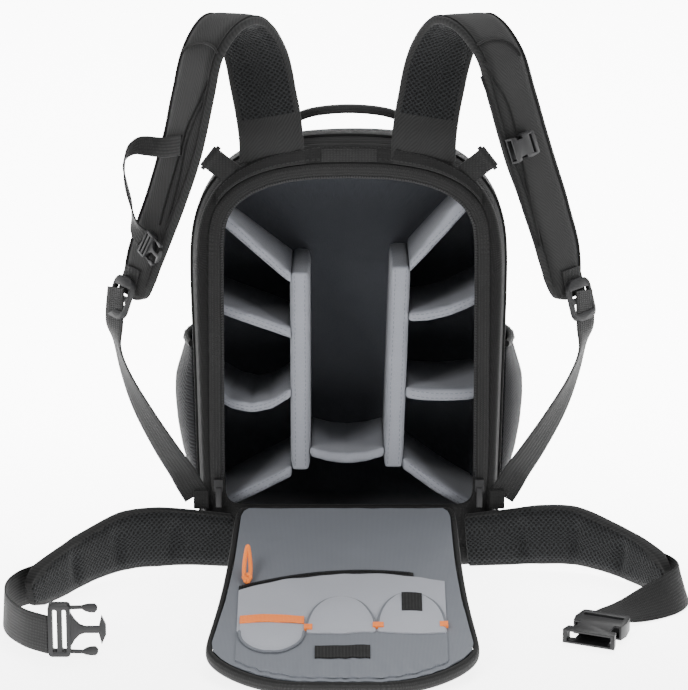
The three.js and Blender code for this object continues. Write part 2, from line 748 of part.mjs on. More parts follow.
// Frame with two slots that grips webbing.
function webFrame(width, length, thick, slot) {
  const s = roundedRectangle(-width / 2, -length / 2, width / 2, length / 2, width * 0.3);
  const inner = width / 2 - 3;
  s.holes.push(roundedRectangle(-inner, slot / 2, inner, slot / 2 + length * 0.2, 1.5, THREE.Path));
  s.holes.push(roundedRectangle(-inner, -slot / 2 - length * 0.24, inner, -slot / 2, 1.5, THREE.Path));
  return plate(s, thick, 2);
}

// Turns a drawn piece so that its drawing x, y and thickness follow three directions.
function placed(geometry, xDir, yDir, at) {
  const zDir = xDir.clone().cross(yDir);
  const matrix = new THREE.Matrix4().makeBasis(xDir, yDir, zDir).setPosition(at);
  return geometry.applyMatrix4(matrix);
}

// Place of the slider on a strap's end: shares of the strap's width across and of the body height.
const LOCK_ACROSS = 0.05;
const LOCK_DROP = 0.118;
const LOCK_OFF = STRAP_THICK / 2 + WEB_THICK + 4 * GAP + LOCK_THICK / 2;

const lockPlace = (frame) => fromFrame(frame, LOCK_ACROSS * STRAP_WIDTH, LOCK_OFF, LOCK_DROP * BODY_HEIGHT);

function ladderLock(name) {
  const frame = strapFrame(name, LAST_FULL_ROW);
  const up = frame.down.clone().negate();
  return placed(webFrame(LOCK_WIDTH, LOCK_LENGTH, LOCK_THICK, 5), frame.out, up, lockPlace(frame));
}

// Short webbing sewn to the strap's face, which carries the slider's upper bar.
function lockTab(name) {
  const frame = strapFrame(name, LAST_FULL_ROW);
  const off = LOCK_OFF - (LOCK_THICK + WEB_THICK) / 2 - GAP;
  const station = (rise) => ({
    at: fromFrame(frame, LOCK_ACROSS * STRAP_WIDTH, off, LOCK_DROP * BODY_HEIGHT - rise),
    wide: frame.out,
    width: WEB_WIDTH,
    thick: WEB_THICK,
  });
  return band([station(LOCK_LENGTH * 0.1), station(LOCK_LENGTH * 0.75)], FLAT_SECTION);
}

// Webbing from the slider down to the foot of the body: shares of the way down, of the way in, and
// of the depth between, with the turn of its width in degrees.
const LOWER_WEB_ROWS = [
  { down: 0.02, across: 0, deep: 0, turn: 46 },
  { down: 0.14, across: 0.03, deep: 0.05, turn: 74 },
  { down: 0.3, across: 0.14, deep: 0.17, turn: 66 },
  { down: 0.5, across: 0.34, deep: 0.38, turn: 42 },
  { down: 0.72, across: 0.61, deep: 0.7, turn: 20 },
  { down: 0.86, across: 0.8, deep: 0.94, turn: 4 },
  { down: 0.93, across: 0.89, deep: 1, turn: 0 },
  { down: 1, across: 1, deep: 1, turn: 0 },
];
const ANCHOR_HEIGHT = 0.168;

function anchorPlace(side) {
  const h = ANCHOR_HEIGHT * BODY_HEIGHT;
  const across = OPENING_HALF_WIDTH + ZIP_BAND_WIDTH + 2 * GAP + WEB_WIDTH / 2;
  return new THREE.Vector3(side * across, RIM_FRONT - 2 * GAP - WEB_THICK / 2, h);
}

function lowerWebbing(name) {
  const frame = strapFrame(name, LAST_FULL_ROW);
  const { side } = frame;
  const start = lockPlace(frame).addScaledVector(frame.down, LOCK_LENGTH / 2 + GAP);
  const end = anchorPlace(side);
  const stations = LOWER_WEB_ROWS.map((row) => {
    const turn = THREE.MathUtils.degToRad(row.turn);
    return {
      at: new THREE.Vector3(
        lerp(start.x, end.x, row.across),
        lerp(start.y, end.y, row.deep),
        lerp(start.z, end.z, row.down),
      ),
      wide: new THREE.Vector3(Math.cos(turn), side * Math.sin(turn), side * -0.35 * row.down).normalize(),
      width: WEB_WIDTH,
      thick: WEB_THICK,
    };
  });
  return band(smoothStations(stations, 16), FLAT_SECTION);
}

// Cloth tab over the webbing's sewn end at the foot of the body.
function webbingAnchor(side) {
  const at = anchorPlace(side);
  const front = at.y - WEB_THICK / 2 - 2 * GAP;
  const edges = [at.x - side * (WEB_WIDTH / 2 - GAP), at.x + side * WEB_WIDTH * 0.1].sort((a, b) => a - b);
  const low = [edges[0], front - 3, at.z - WEB_WIDTH * 0.5];
  const high = [edges[1], front, at.z + WEB_WIDTH * 0.25];
  return boxBetween(low, high);
}

// Round carrying handle on top of the body.
function grabHandle() {
  const depth = 0.14 * BODY_DEPTH;
  const top = BODY_HEIGHT + HANDLE_RADIUS * 0.5;
  const path = new THREE.CatmullRomCurve3([
    [-1, -0.2], [-0.93, 0.42], [-0.6, 0.84], [0, 1], [0.6, 0.84], [0.93, 0.42], [1, -0.2],
  ].map(([across, up]) => new THREE.Vector3(across * HANDLE_SPAN, depth, top + up * HANDLE_RISE)));
  const section = new THREE.Shape();
  section.absarc(0, 0, HANDLE_RADIUS, 0, Math.PI * 2);
  const settings = { steps: 16, bevelEnabled: false, curveSegments: 4, extrudePath: path };
  return new THREE.ExtrudeGeometry(section, settings);
}

// Webbing tab folded round a small bar at each upper corner of the frame.
const TAB_ANGLE = 38;
const TAB_ACROSS = 0.745;
const TAB_UP = 0.918;
const EYE_RADIUS = BAR_RADIUS + GAP;

function cornerTab() {
  const s = new THREE.Shape();
  const eye = EYE_RADIUS + WEB_THICK;
  s.moveTo(-TAB_SEWN, -WEB_THICK);
  s.lineTo(TAB_LENGTH - eye * 1.6, -WEB_THICK);
  s.absarc(TAB_LENGTH, 0, eye, -Math.PI * 0.75, Math.PI * 0.75);
  s.lineTo(TAB_LENGTH - eye * 1.6, WEB_THICK);
  s.lineTo(-TAB_SEWN, WEB_THICK);
  const hole = new THREE.Path();
  hole.absarc(TAB_LENGTH, 0, EYE_RADIUS, 0, Math.PI * 2, true);
  s.holes.push(hole);
  return plate(s, TAB_WIDTH, 6);
}

const cornerBar = () => new THREE.CylinderGeometry(BAR_RADIUS, BAR_RADIUS, TAB_WIDTH + 5, 12)
  .rotateX(Math.PI / 2)
  .translate(TAB_LENGTH, 0, 0);

function onCorner(geometry, side) {
  const angle = THREE.MathUtils.degToRad(TAB_ANGLE);
  const out = new THREE.Vector3(side * Math.cos(angle), 0, Math.sin(angle));
  const through = new THREE.Vector3(0, -1, 0);
  const at = new THREE.Vector3(
    side * TAB_ACROSS * BODY_HALF_WIDTH, RIM_FRONT - GAP - WEB_THICK, TAB_UP * BODY_HEIGHT,
  );
  return placed(geometry, out, through, at);
}

// Path of a belt wing. Reach is outwards from its root, forward and height are shares, rise is its
// lower edge above the ground; the two wings lie a little differently.
const BELT_ROWS = [
  { reach: 0, forwardLeft: 0, forwardRight: 0, rise: 0.07, tall: 0.84 },
  { reach: 0.2, forwardLeft: 0.02, forwardRight: 0.02, rise: 0.1, tall: 0.9 },
  { reach: 0.38, forwardLeft: 0.09, forwardRight: 0.03, rise: 0.12, tall: 0.97 },
  { reach: 0.55, forwardLeft: 0.22, forwardRight: 0.08, rise: 0.14, tall: 0.96 },
  { reach: 0.72, forwardLeft: 0.48, forwardRight: 0.24, rise: 0.12, tall: 0.84 },
  { reach: 0.86, forwardLeft: 0.8, forwardRight: 0.45, rise: 0.07, tall: 0.78 },
  { reach: 0.96, forwardLeft: 1.05, forwardRight: 0.68, rise: 0.06, tall: 0.68 },
  { reach: 1, forwardLeft: 1.19, forwardRight: 0.8, rise: 0.14, tall: 0.4 },
];
const BELT_CHANNELS = [0.25, 0.5, 0.74];
const BELT_STEPS = 32;
const CHANNEL_DEPTH = 0.34;
const CHANNEL_WIDTH = 0.03;
const beltBack = leaned(0, RIM_FRONT - GAP, BELT_HEIGHT / 2).y - BELT_THICK / 2;

function beltStations(side) {
  const forward = side < 0 ? 'forwardLeft' : 'forwardRight';
  return BELT_ROWS.map((row) => ({
    at: new THREE.Vector3(
      side * (BELT_ROOT + BELT_REACH * row.reach),
      beltBack - BELT_FORWARD * row[forward],
      BELT_HEIGHT * (row.rise + row.tall / 2),
    ),
    wide: new THREE.Vector3(0, Math.sin(lean) * (1 - row.reach), 1),
    width: BELT_HEIGHT * row.tall,
    thick: BELT_THICK * (row.reach === 1 ? 0.6 : 1),
  }));
}

function beltWing(side) {
  const stations = smoothStations(beltStations(side), BELT_STEPS);
  stations.forEach((station, i) => {
    const t = i / BELT_STEPS;
    for (const channel of BELT_CHANNELS) {
      const far = (t - channel) / CHANNEL_WIDTH;
      station.thick *= 1 - CHANNEL_DEPTH * Math.exp(-far * far);
    }
  });
  return band(stations, PAD_SECTION);
}

// Belt webbing from the far face of each wing's end round to its buckle, standing on its edge.
// Places are shares of the belt's reach and forward sizes; tip is how far its width leans over.
const BELT_WEB_ROWS = {
  left: [
    { reach: 0.828, forward: 0.569, tip: 0 },
    { reach: 0.903, forward: 0.744, tip: 0 },
    { reach: 0.99, forward: 0.91, tip: 0 },
    { reach: 1.07, forward: 1.08, tip: 3 },
    { reach: 1.115, forward: 1.35, tip: 4 },
    { reach: 1.09, forward: 1.7, tip: 2 },
    { reach: 0.99, forward: 2.0, tip: 0 },
    { reach: 0.87, forward: 2.17, tip: 0 },
  ],
  right: [
    { reach: 0.83, forward: 0.268, tip: 0 },
    { reach: 0.9, forward: 0.372, tip: 0 },
    { reach: 0.985, forward: 0.54, tip: -3 },
    { reach: 1.055, forward: 0.7, tip: -8 },
    { reach: 1.085, forward: 0.88, tip: -18 },
    { reach: 1.02, forward: 1.08, tip: -36 },
    { reach: 0.9, forward: 1.2, tip: -58 },
    { reach: 0.785, forward: 1.28, tip: -80 },
    { reach: 0.715, forward: 1.36, tip: -90 },
    { reach: 0.685, forward: 1.48, tip: -90 },
  ],
};

const beltPlace = (side, reach, forward, z) =>
  new THREE.Vector3(side * (BELT_ROOT + BELT_REACH * reach), beltBack - BELT_FORWARD * forward, z);

function beltWebbing(name) {
  const side = name === 'left' ? -1 : 1;
  const rows = BELT_WEB_ROWS[name];
  const stations = rows.map((row, i) => {
    const before = rows[Math.max(i - 1, 0)];
    const after = rows[Math.min(i + 1, rows.length - 1)];
    const along = beltPlace(side, after.reach, after.forward, 0)
      .sub(beltPlace(side, before.reach, before.forward, 0)).normalize();
    const flat = new THREE.Vector3(-along.y, along.x, 0);
    const tip = THREE.MathUtils.degToRad(row.tip);
    const wide = new THREE.Vector3(0, 0, Math.cos(tip)).addScaledVector(flat, Math.sin(tip));
    const z = Math.max((Math.cos(tip) * BELT_WEB_WIDTH) / 2, BUCKLE_THICK / 2) + WEB_CLEAR;
    return { at: beltPlace(side, row.reach, row.forward, z), wide, width: BELT_WEB_WIDTH, thick: WEB_THICK };
  });
  return band(smoothStations(stations, 22), FLAT_SECTION);
}

// Prong half of a side-release buckle, drawn with its length along x and its width along y.
function maleBuckle(width, length, thick) {
  const frame = length * 0.38;
  const slot = frame * 0.2;
  const body = roundedRectangle(0, -width / 2, frame, width / 2, width * 0.07);
  const inner = width * 0.41;
  body.holes.push(roundedRectangle(frame * 0.2, -inner, frame * 0.2 + slot, inner, slot * 0.4, THREE.Path));
  body.holes.push(roundedRectangle(frame * 0.62, -inner, frame * 0.62 + slot, inner, slot * 0.4, THREE.Path));

  const spine = new THREE.Shape();
  spine.moveTo(frame - 0.5, -width * 0.34);
  spine.quadraticCurveTo(length * 0.5, -width * 0.06, length * 0.62, -width * 0.06);
  spine.lineTo(length * 0.86, -width * 0.06);
  spine.lineTo(length * 0.91, -width * 0.28);
  spine.quadraticCurveTo(length * 1.08, 0, length * 0.91, width * 0.28);
  spine.lineTo(length * 0.86, width * 0.06);
  spine.lineTo(length * 0.62, width * 0.06);
  spine.quadraticCurveTo(length * 0.5, width * 0.34 * 0.2, frame - 0.5, width * 0.34);

  const arms = [-1, 1].map((side) => {
    const arm = new THREE.Shape();
    arm.moveTo(frame - 0.5, side * width * 0.4);
    arm.lineTo(length * 0.58, side * width * 0.41);
    arm.quadraticCurveTo(length * 0.66, side * width * 0.33, length * 0.8, side * width * 0.34);
    arm.quadraticCurveTo(length * 0.9, side * width * 0.42, length * 0.8, side * width * 0.49);
    arm.quadraticCurveTo(length * 0.66, side * width * 0.5, length * 0.58, side * width * 0.455);
    arm.lineTo(frame - 0.5, side * width * 0.45);
    return plate(arm, thick * 0.45, 3);
  });
  return joined([plate(body, thick, 2), plate(spine, thick * 0.4, 3), ...arms]);
}

// Sleeve half of the buckle: open mouth at x = 0, side windows for the prongs, and a webbing bar.
function femaleBuckle(width, length, thick) {
  const sleeve = length * 0.66;
  const outer = new THREE.Shape();
  outer.moveTo(0, -width / 2);
  outer.quadraticCurveTo(length * 0.3, -width * 0.4, sleeve, -width * 0.5);
  outer.lineTo(length * 0.93, -width * 0.46);
  outer.quadraticCurveTo(length, -width * 0.46, length, -width * 0.38);
  outer.lineTo(length, width * 0.38);
  outer.quadraticCurveTo(length, width * 0.46, length * 0.93, width * 0.46);
  outer.lineTo(sleeve, width * 0.5);
  outer.quadraticCurveTo(length * 0.3, width * 0.4, 0, width / 2);
  const slot = roundedRectangle(length * 0.76, -width * 0.38, length * 0.86, width * 0.38, 1, THREE.Path);
  outer.holes.push(slot);
  const wall = thick * 0.16;
  const low = [-1, -width * 0.42, -thick / 2 + wall];
  const high = [length * 0.6, width * 0.42, thick / 2 - wall];
  const mouth = boxBetween(low, high);
  const windows = [-1, 1].map((side) => {
    const edges = [side * width * 0.33, side * width * 0.7].sort((a, b) => a - b);
    return boxBetween([length * 0.2, edges[0], -thick], [length * 0.46, edges[1], thick]);
  });
  return cutBy(plate(outer, thick, 3), [mouth, ...windows]);
}

function beltMaleBuckle() {
  const rows = BELT_WEB_ROWS.left;
  const end = rows[rows.length - 1];
  const at = beltPlace(-1, end.reach, end.forward, BUCKLE_WIDTH / 2 + 1);
  at.x += WEB_THICK / 2;
  at.y -= WEB_THICK;
  const length = new THREE.Vector3(1, 0, 0);
  const width = new THREE.Vector3(0, 0, 1);
  return placed(maleBuckle(BUCKLE_WIDTH, BUCKLE_LENGTH, BUCKLE_THICK), length, width, at);
}

const FEMALE_TURN = 67;

function beltFemaleBuckle() {
  const turn = THREE.MathUtils.degToRad(FEMALE_TURN);
  const length = new THREE.Vector3(Math.cos(turn), Math.sin(turn), 0);
  const width = new THREE.Vector3(-Math.sin(turn), Math.cos(turn), 0);
  const rows = BELT_WEB_ROWS.right;
  const end = rows[rows.length - 1];
  const thick = BUCKLE_THICK * 1.4;
  const at = beltPlace(1, end.reach, end.forward, thick / 2 + 1);
  at.addScaledVector(length, -BUCKLE_LENGTH - 4 * GAP);
  return placed(femaleBuckle(BUCKLE_WIDTH, BUCKLE_LENGTH, thick), length, width, at);
}

// Sternum webbing: across the left strap's outer face, out in a loose loop and down to its buckle.
// Places and the direction of its width go outwards, off the face and down from the middle of the
// strap where it starts; the places are shares of the strap's width.
const STERNUM_WIDTH = 19;
const STERNUM_ROW = 8;
const STERNUM_ROWS = [
  { out: -0.14, off: 0.012, down: -0.08, wide: [0, 0, 1] },
  { out: 0.2, off: 0.02, down: 0.04, wide: [0, 0, 1] },
  { out: 0.44, off: 0.05, down: 0.1, wide: [0, 0, 1] },
  { out: 0.53, off: 0.15, down: 0.12, wide: [0, -0.2, 1] },
  { out: 0.58, off: 0.3, down: 0.16, wide: [0.3, -0.2, 0.9] },
  { out: 0.56, off: 0.45, down: 0.28, wide: [0.5, -0.4, 0.7] },
  { out: 0.46, off: 0.52, down: 0.46, wide: [0.7, -0.5, 0.3] },
  { out: 0.34, off: 0.48, down: 0.72, wide: [0.78, -0.6, 0] },
  { out: 0.25, off: 0.37, down: 0.98, wide: [0.8, -0.6, 0] },
  { out: 0.19, off: 0.28, down: 1.2, wide: [0.85, -0.4, 0.1] },
  { out: 0.14, off: 0.18, down: 1.38, wide: [0.6, -0.1, 0.8] },
  { out: 0.04, off: 0.13, down: 1.46, wide: [0.3, 0, 0.95] },
];

function sternumStations() {
  const frame = strapFrame('left', STERNUM_ROW);
  const seat = STRAP_THICK / 2 + GAP + WEB_THICK / 2;
  return STERNUM_ROWS.map((row) => ({
    at: fromFrame(frame, row.out * STRAP_WIDTH, seat + row.off * STRAP_WIDTH, row.down * STRAP_WIDTH),
    wide: new THREE.Vector3()
      .addScaledVector(frame.out, row.wide[0])
      .addScaledVector(frame.face, row.wide[1])
      .addScaledVector(frame.down, row.wide[2])
      .normalize(),
    width: STERNUM_WIDTH,
    thick: WEB_THICK,
  }));
}

const sternumWebbing = () => band(smoothStations(sternumStations(), 26), FLAT_SECTION);

const STERNUM_BUCKLE_WIDTH = 24;
const STERNUM_BUCKLE_LENGTH = 32;
const STERNUM_BUCKLE_THICK = 6;

function sternumMaleBuckle() {
  const frame = strapFrame('left', STERNUM_ROW);
  const stations = sternumStations();
  const end = stations[stations.length - 1].at;
  const length = frame.out.clone().multiplyScalar(-0.96).addScaledVector(frame.down, 0.28).normalize();
  const width = frame.face.clone().cross(length).normalize();
  const at = end.clone().addScaledVector(length, 5 * GAP + WEB_THICK);
  const geometry = maleBuckle(STERNUM_BUCKLE_WIDTH, STERNUM_BUCKLE_LENGTH, STERNUM_BUCKLE_THICK);
  return placed(geometry, length, width, at);
}

function sternumFemaleBuckle() {
  const frame = strapFrame('right', STERNUM_ROW);
  const thick = STERNUM_BUCKLE_THICK * 1.4;
  const up = frame.down.clone().negate();
  const at = fromFrame(frame, -STRAP_WIDTH / 2, STRAP_THICK / 2 + GAP + thick / 2, -STRAP_WIDTH * 0.1);
  return placed(femaleBuckle(STERNUM_BUCKLE_WIDTH, STERNUM_BUCKLE_LENGTH, thick), frame.out, up, at);
}

// Slider with its pull at each end of the main zip.
function zipSlider(side) {
  const front = RIM_FRONT - 2 * GAP - ZIP_BAND_THICK;
  const x = side * (OPENING_HALF_WIDTH + ZIP_BAND_WIDTH * 0.4);
  const foot = OPENING_FOOT + OPENING_CORNER + GAP;
  const half = SLIDER_WIDTH / 2;
  const body = boxBetween([x - half, front - SLIDER_THICK, foot], [x + half, front, foot + SLIDER_LENGTH]);
  const pull = boxBetween(
    [x - half * 0.66, front - SLIDER_THICK * 1.4, foot - SLIDER_LENGTH * 1.3],
    [x + half * 0.66, front - SLIDER_THICK * 0.75, foot + SLIDER_LENGTH * 0.33],
  );
  return joined([body, pull]);
}

const fabric = (colour) => new THREE.MeshStandardMaterial({ color: colour, roughness: 0.85, metalness: 0 });
const plastic = (colour) => new THREE.MeshStandardMaterial({ color: colour, roughness: 0.45, metalness: 0 });
const CHARCOAL = '#353534';
const MESH_BLACK = '#222327';
const WEB_BLACK = '#262624';
const DIVIDER_GREY = '#8a8c92';
const LINING_GREY = '#7d858d';
const POCKET_GREY = '#a6a8ae';
const ORANGE = '#f5893e';
const PLASTIC_BLACK = '#2a2a2c';

const leaning = new THREE.Group();
leaning.rotation.x = -lean;
const ground = new THREE.Group();

function add(group, name, geometry, material) {
  const mesh = new THREE.Mesh(geometry, material);
  mesh.name = name;
  group.add(mesh);
}

add(leaning, 'body_shell', cup(0, WALL), fabric(CHARCOAL));
add(leaning, 'body_lining', cup(WALL + GAP, LINER_INSET), fabric(DIVIDER_GREY));
add(leaning, 'back_rim', backRim(), fabric(CHARCOAL));
add(leaning, 'zip_band', zipBand(), fabric(WEB_BLACK));
add(leaning, 'name_patch', namePatch(), fabric(WEB_BLACK));
for (const [name, column] of Object.entries(COLUMNS)) {
  add(leaning, 'divider_column_' + name, columnBody(column), fabric(DIVIDER_GREY));
}
for (const row of SIDE_DIVIDERS) add(leaning, row.name, sideDivider(row), fabric(DIVIDER_GREY));
add(leaning, 'divider_centre', centreDivider(), fabric(DIVIDER_GREY));
add(leaning, 'grab_handle', grabHandle(), fabric(WEB_BLACK));

for (const [name, side] of [['left', -1], ['right', 1]]) {
  add(leaning, 'side_pocket_' + name, sidePocket(side), fabric(MESH_BLACK));
  add(leaning, 'corner_tab_' + name, onCorner(cornerTab(), side), fabric(WEB_BLACK));
  add(leaning, 'corner_bar_' + name, onCorner(cornerBar(), side), plastic(PLASTIC_BLACK));
  add(leaning, 'shoulder_strap_' + name, shoulderStrap(name), fabric(CHARCOAL));
  add(leaning, 'ladder_lock_' + name, ladderLock(name), plastic(PLASTIC_BLACK));
  add(leaning, 'lock_tab_' + name, lockTab(name), fabric(WEB_BLACK));
  add(leaning, 'lower_webbing_' + name, lowerWebbing(name), fabric(WEB_BLACK));
  add(leaning, 'webbing_anchor_' + name, webbingAnchor(side), fabric(WEB_BLACK));
  add(leaning, 'zip_slider_' + name, zipSlider(side), plastic(PLASTIC_BLACK));
  add(ground, 'belt_wing_' + name, beltWing(side), fabric(MESH_BLACK));
  add(ground, 'belt_webbing_' + name, beltWebbing(name), fabric(WEB_BLACK));
}
add(leaning, 'sternum_webbing', sternumWebbing(), fabric(WEB_BLACK));
add(leaning, 'sternum_buckle_male', sternumMaleBuckle(), plastic(PLASTIC_BLACK));
add(leaning, 'sternum_buckle_female', sternumFemaleBuckle(), plastic(PLASTIC_BLACK));
add(ground, 'belt_buckle_male', beltMaleBuckle(), plastic(PLASTIC_BLACK));
add(ground, 'belt_buckle_female', beltFemaleBuckle(), plastic(PLASTIC_BLACK));

add(ground, 'flap_pad', flapPad(), fabric(MESH_BLACK));
add(ground, 'flap_binding', flapBinding(), fabric(WEB_BLACK));
add(ground, 'flap_lining', flapLining(), fabric(LINING_GREY));
add(ground, 'flap_zip', flapZip(), fabric(WEB_BLACK));
add(ground, 'flap_zip_pull', zipPull(), fabric(ORANGE));
add(ground, 'card_panel', cardPanel(), fabric(POCKET_GREY));
for (const row of CARD_POCKETS) add(ground, row.name, cardPocket(row), fabric(POCKET_GREY));
add(ground, 'card_pocket_band', pocketBand(), fabric(ORANGE));
add(ground, 'flap_label', flapLabel(-0.05, 0.846, 0.4, 0.062, 2), fabric(WEB_BLACK));
add(ground, 'card_label', flapLabel(0.46, 0.595, 0.15, 0.09, 3), fabric(WEB_BLACK));

const backpack = new THREE.Group();
backpack.add(leaning, ground);
backpack.position.y = -BASE_CENTRE;

export default backpack;
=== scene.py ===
import json
import math

import bmesh
import bpy
from mathutils import Matrix, Vector, noise
from mathutils.bvhtree import BVHTree

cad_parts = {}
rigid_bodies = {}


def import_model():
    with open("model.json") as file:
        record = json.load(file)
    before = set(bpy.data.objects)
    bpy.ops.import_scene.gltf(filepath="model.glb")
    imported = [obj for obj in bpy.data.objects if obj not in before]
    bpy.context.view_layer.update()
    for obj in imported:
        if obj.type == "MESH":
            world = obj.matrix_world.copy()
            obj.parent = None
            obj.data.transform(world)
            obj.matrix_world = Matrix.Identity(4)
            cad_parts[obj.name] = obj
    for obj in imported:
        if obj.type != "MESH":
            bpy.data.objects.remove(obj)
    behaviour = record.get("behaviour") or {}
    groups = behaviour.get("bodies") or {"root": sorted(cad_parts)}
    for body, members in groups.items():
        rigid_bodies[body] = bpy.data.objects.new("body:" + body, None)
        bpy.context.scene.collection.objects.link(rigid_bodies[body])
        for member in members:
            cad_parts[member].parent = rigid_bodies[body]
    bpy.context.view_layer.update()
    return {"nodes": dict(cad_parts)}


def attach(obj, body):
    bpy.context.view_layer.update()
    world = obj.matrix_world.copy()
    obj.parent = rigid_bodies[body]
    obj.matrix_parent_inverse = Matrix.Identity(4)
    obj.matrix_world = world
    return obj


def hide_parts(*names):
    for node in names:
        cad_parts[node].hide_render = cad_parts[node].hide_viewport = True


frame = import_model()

# The pack stands on a pale studio floor, seen from a little above through a long lens, with two
# broad soft lights in front and one behind the top that picks out the edges of the black cloth.
CAMERA_PLACE = Vector((-0.0049, -3.37666, 1.2984))
CAMERA_TILT = math.radians(18)
FOCAL_PIXELS = 3605
FRAME_WIDE, FRAME_HIGH = 688, 690


def linear(hex_colour):
    """Linear colour, with alpha, of an sRGB hex value."""
    parts = [int(hex_colour[i:i + 2], 16) / 255 for i in (1, 3, 5)]
    return tuple(c / 12.92 if c <= 0.04045 else ((c + 0.055) / 1.055) ** 2.4 for c in parts) + (1.0,)


def add_node(tree, kind, sockets=None, **settings):
    """Adds a shader node, sets its options, and fills or links its inputs."""
    made = tree.nodes.new(kind)
    for key, value in settings.items():
        setattr(made, key, value)
    for key, value in (sockets or {}).items():
        if isinstance(value, bpy.types.NodeSocket):
            tree.links.new(value, made.inputs[key])
        else:
            made.inputs[key].default_value = value
    return made


lens = bpy.data.cameras.new("photo_camera")
lens.sensor_width = 36
lens.lens = FOCAL_PIXELS / FRAME_HIGH * lens.sensor_width
lens.clip_end = 60
camera = bpy.data.objects.new("photo_camera", lens)
camera.location = CAMERA_PLACE
camera.rotation_euler = (math.pi / 2 - CAMERA_TILT, 0, 0)
bpy.context.collection.objects.link(camera)
bpy.context.scene.camera = camera

floor_shape = bmesh.new()
bmesh.ops.create_grid(floor_shape, x_segments=1, y_segments=1, size=30)
floor_mesh = bpy.data.meshes.new("studio_floor")
floor_shape.to_mesh(floor_mesh)
floor_shape.free()
floor = bpy.data.objects.new("studio_floor", floor_mesh)
bpy.context.collection.objects.link(floor)
# White paper lit from below, as product tables are: more behind the pack than in front of it.
paper = bpy.data.materials.new("lit_white_paper")
paper.use_nodes = True
tree = paper.node_tree
tree.nodes.clear()
depth = add_node(tree, "ShaderNodeSeparateXYZ",
                 {"Vector": add_node(tree, "ShaderNodeTexCoord").outputs["Object"]}).outputs["Y"]
glow = add_node(tree, "ShaderNodeMapRange", {"Value": depth, "From Min": -0.6, "From Max": 0.5,
                                             "To Min": 4.0, "To Max": 9.0}, interpolation_type="SMOOTHSTEP")
sheet = add_node(tree, "ShaderNodeBsdfPrincipled",
                 {"Base Color": linear("#f4f4f4"), "Roughness": 0.95, "Specular IOR Level": 0.1,
                  "Emission Color": linear("#ffffff"), "Emission Strength": glow.outputs[0]})
add_node(tree, "ShaderNodeOutputMaterial", {"Surface": sheet.outputs[0]})
floor_mesh.materials.append(paper)

sky = bpy.data.worlds.new("studio_room")
sky.use_nodes = True
sky.node_tree.nodes["Background"].inputs["Color"].default_value = linear("#ffffff")
sky.node_tree.nodes["Background"].inputs["Strength"].default_value = 0.45
bpy.context.scene.world = sky

SOFT_LIGHTS = [
    {"name": "front_left", "place": (-2.0, -2.6, 2.4), "size": 1.6, "watts": 110},
    {"name": "front_right", "place": (2.4, -2.2, 2.0), "size": 1.6, "watts": 70},
    {"name": "top_back", "place": (0.3, 1.2, 2.4), "size": 1.6, "watts": 120},
]
for soft in SOFT_LIGHTS:
    lamp = bpy.data.lights.new(soft["name"], "AREA")
    lamp.size = soft["size"]
    lamp.energy = soft["watts"]
    lamp_object = bpy.data.objects.new(soft["name"], lamp)
    lamp_object.location = soft["place"]
    aim = Vector((0, -0.1, 0.25)) - lamp_object.location
    lamp_object.rotation_euler = aim.to_track_quat("-Z", "Y").to_euler()
    bpy.context.collection.objects.link(lamp_object)

# Padded outer body: charcoal nylon over foam, cut flat at the base, open towards the wearer. It is
# sewn from a front panel, a long side band and a base, with piping where they meet.
MM = 0.001
LEAN = math.radians(8)
BODY_HEIGHT, BODY_HALF_WIDTH, BODY_DEPTH = 424, 155, 185
WALL, LINING, GAP = 12, 2, 0.3
BASE_CORNER, FRONT_ROUND, ARCH_POWER = 18, 22, 2.6
BASE_CENTRE = BODY_DEPTH * 0.84 / 2 / math.cos(LEAN)
SPRING_SHARE, TAPER = 0.708, 0.945
BODY_SECTIONS = [
    {"depth": 0, "width": 0.965, "crown": 0.985, "lift": 0},
    {"depth": 0.06, "width": 0.985, "crown": 0.997, "lift": 0},
    {"depth": 0.14, "width": 0.995, "crown": 1, "lift": 0},
    {"depth": 0.3, "width": 1, "crown": 1, "lift": 0},
    {"depth": 0.45, "width": 1, "crown": 0.995, "lift": 0},
    {"depth": 0.6, "width": 0.995, "crown": 0.985, "lift": 0},
    {"depth": 0.72, "width": 0.985, "crown": 0.972, "lift": 0},
    {"depth": 0.84, "width": 0.965, "crown": 0.95, "lift": 0},
    {"depth": 0.94, "width": 0.92, "crown": 0.91, "lift": 0.28},
    {"depth": 1, "width": 0.84, "crown": 0.86, "lift": 1},
]
CHARCOAL_THREAD, CHARCOAL_SHADE = "#1a1a1a", "#0f0f0f"


def mix(a, b, t):
    return a + (b - a) * t


def table_value(table, key, column, share):
    """Value of a column of a table at a share along it, straight between the rows."""
    if share <= table[0][key]:
        return table[0][column]
    for a, b in zip(table, table[1:]):
        if share <= b[key]:
            return mix(a[column], b[column], (share - a[key]) / (b[key] - a[key]))
    return table[-1][column]


def in_pack(x, d, h):
    """Row-frame place, in metres, of a place in the leaning pack: across, through its depth, up its back."""
    y = d * math.cos(LEAN) + h * math.sin(LEAN) - BASE_CENTRE
    return Vector((x, y, h * math.cos(LEAN) - d * math.sin(LEAN))) * MM


def outline(half, foot, spring, crown, corner, taper=1.0):
    """Outline of the pack seen from behind: flat foot, round corners, tapered sides, blunt arch."""
    narrow = half * taper
    right = [((narrow - corner) / 2, foot)]
    for turn in (-90, -60, -30, 0):
        a = math.radians(turn)
        right.append((narrow - corner + corner * math.cos(a), foot + corner + corner * math.sin(a)))
    for share in (1 / 3, 2 / 3):
        right.append((mix(narrow, half, share), mix(foot + corner, spring, share)))
    for k in range(8):
        a = k / 8 * math.pi / 2
        rise = (crown - spring) * math.sin(a) ** (2 / ARCH_POWER)
        right.append((half * math.cos(a) ** (2 / ARCH_POWER), spring + rise))
    return [(0, foot)] + right + [(0, crown)] + [(-x, h) for x, h in reversed(right)]


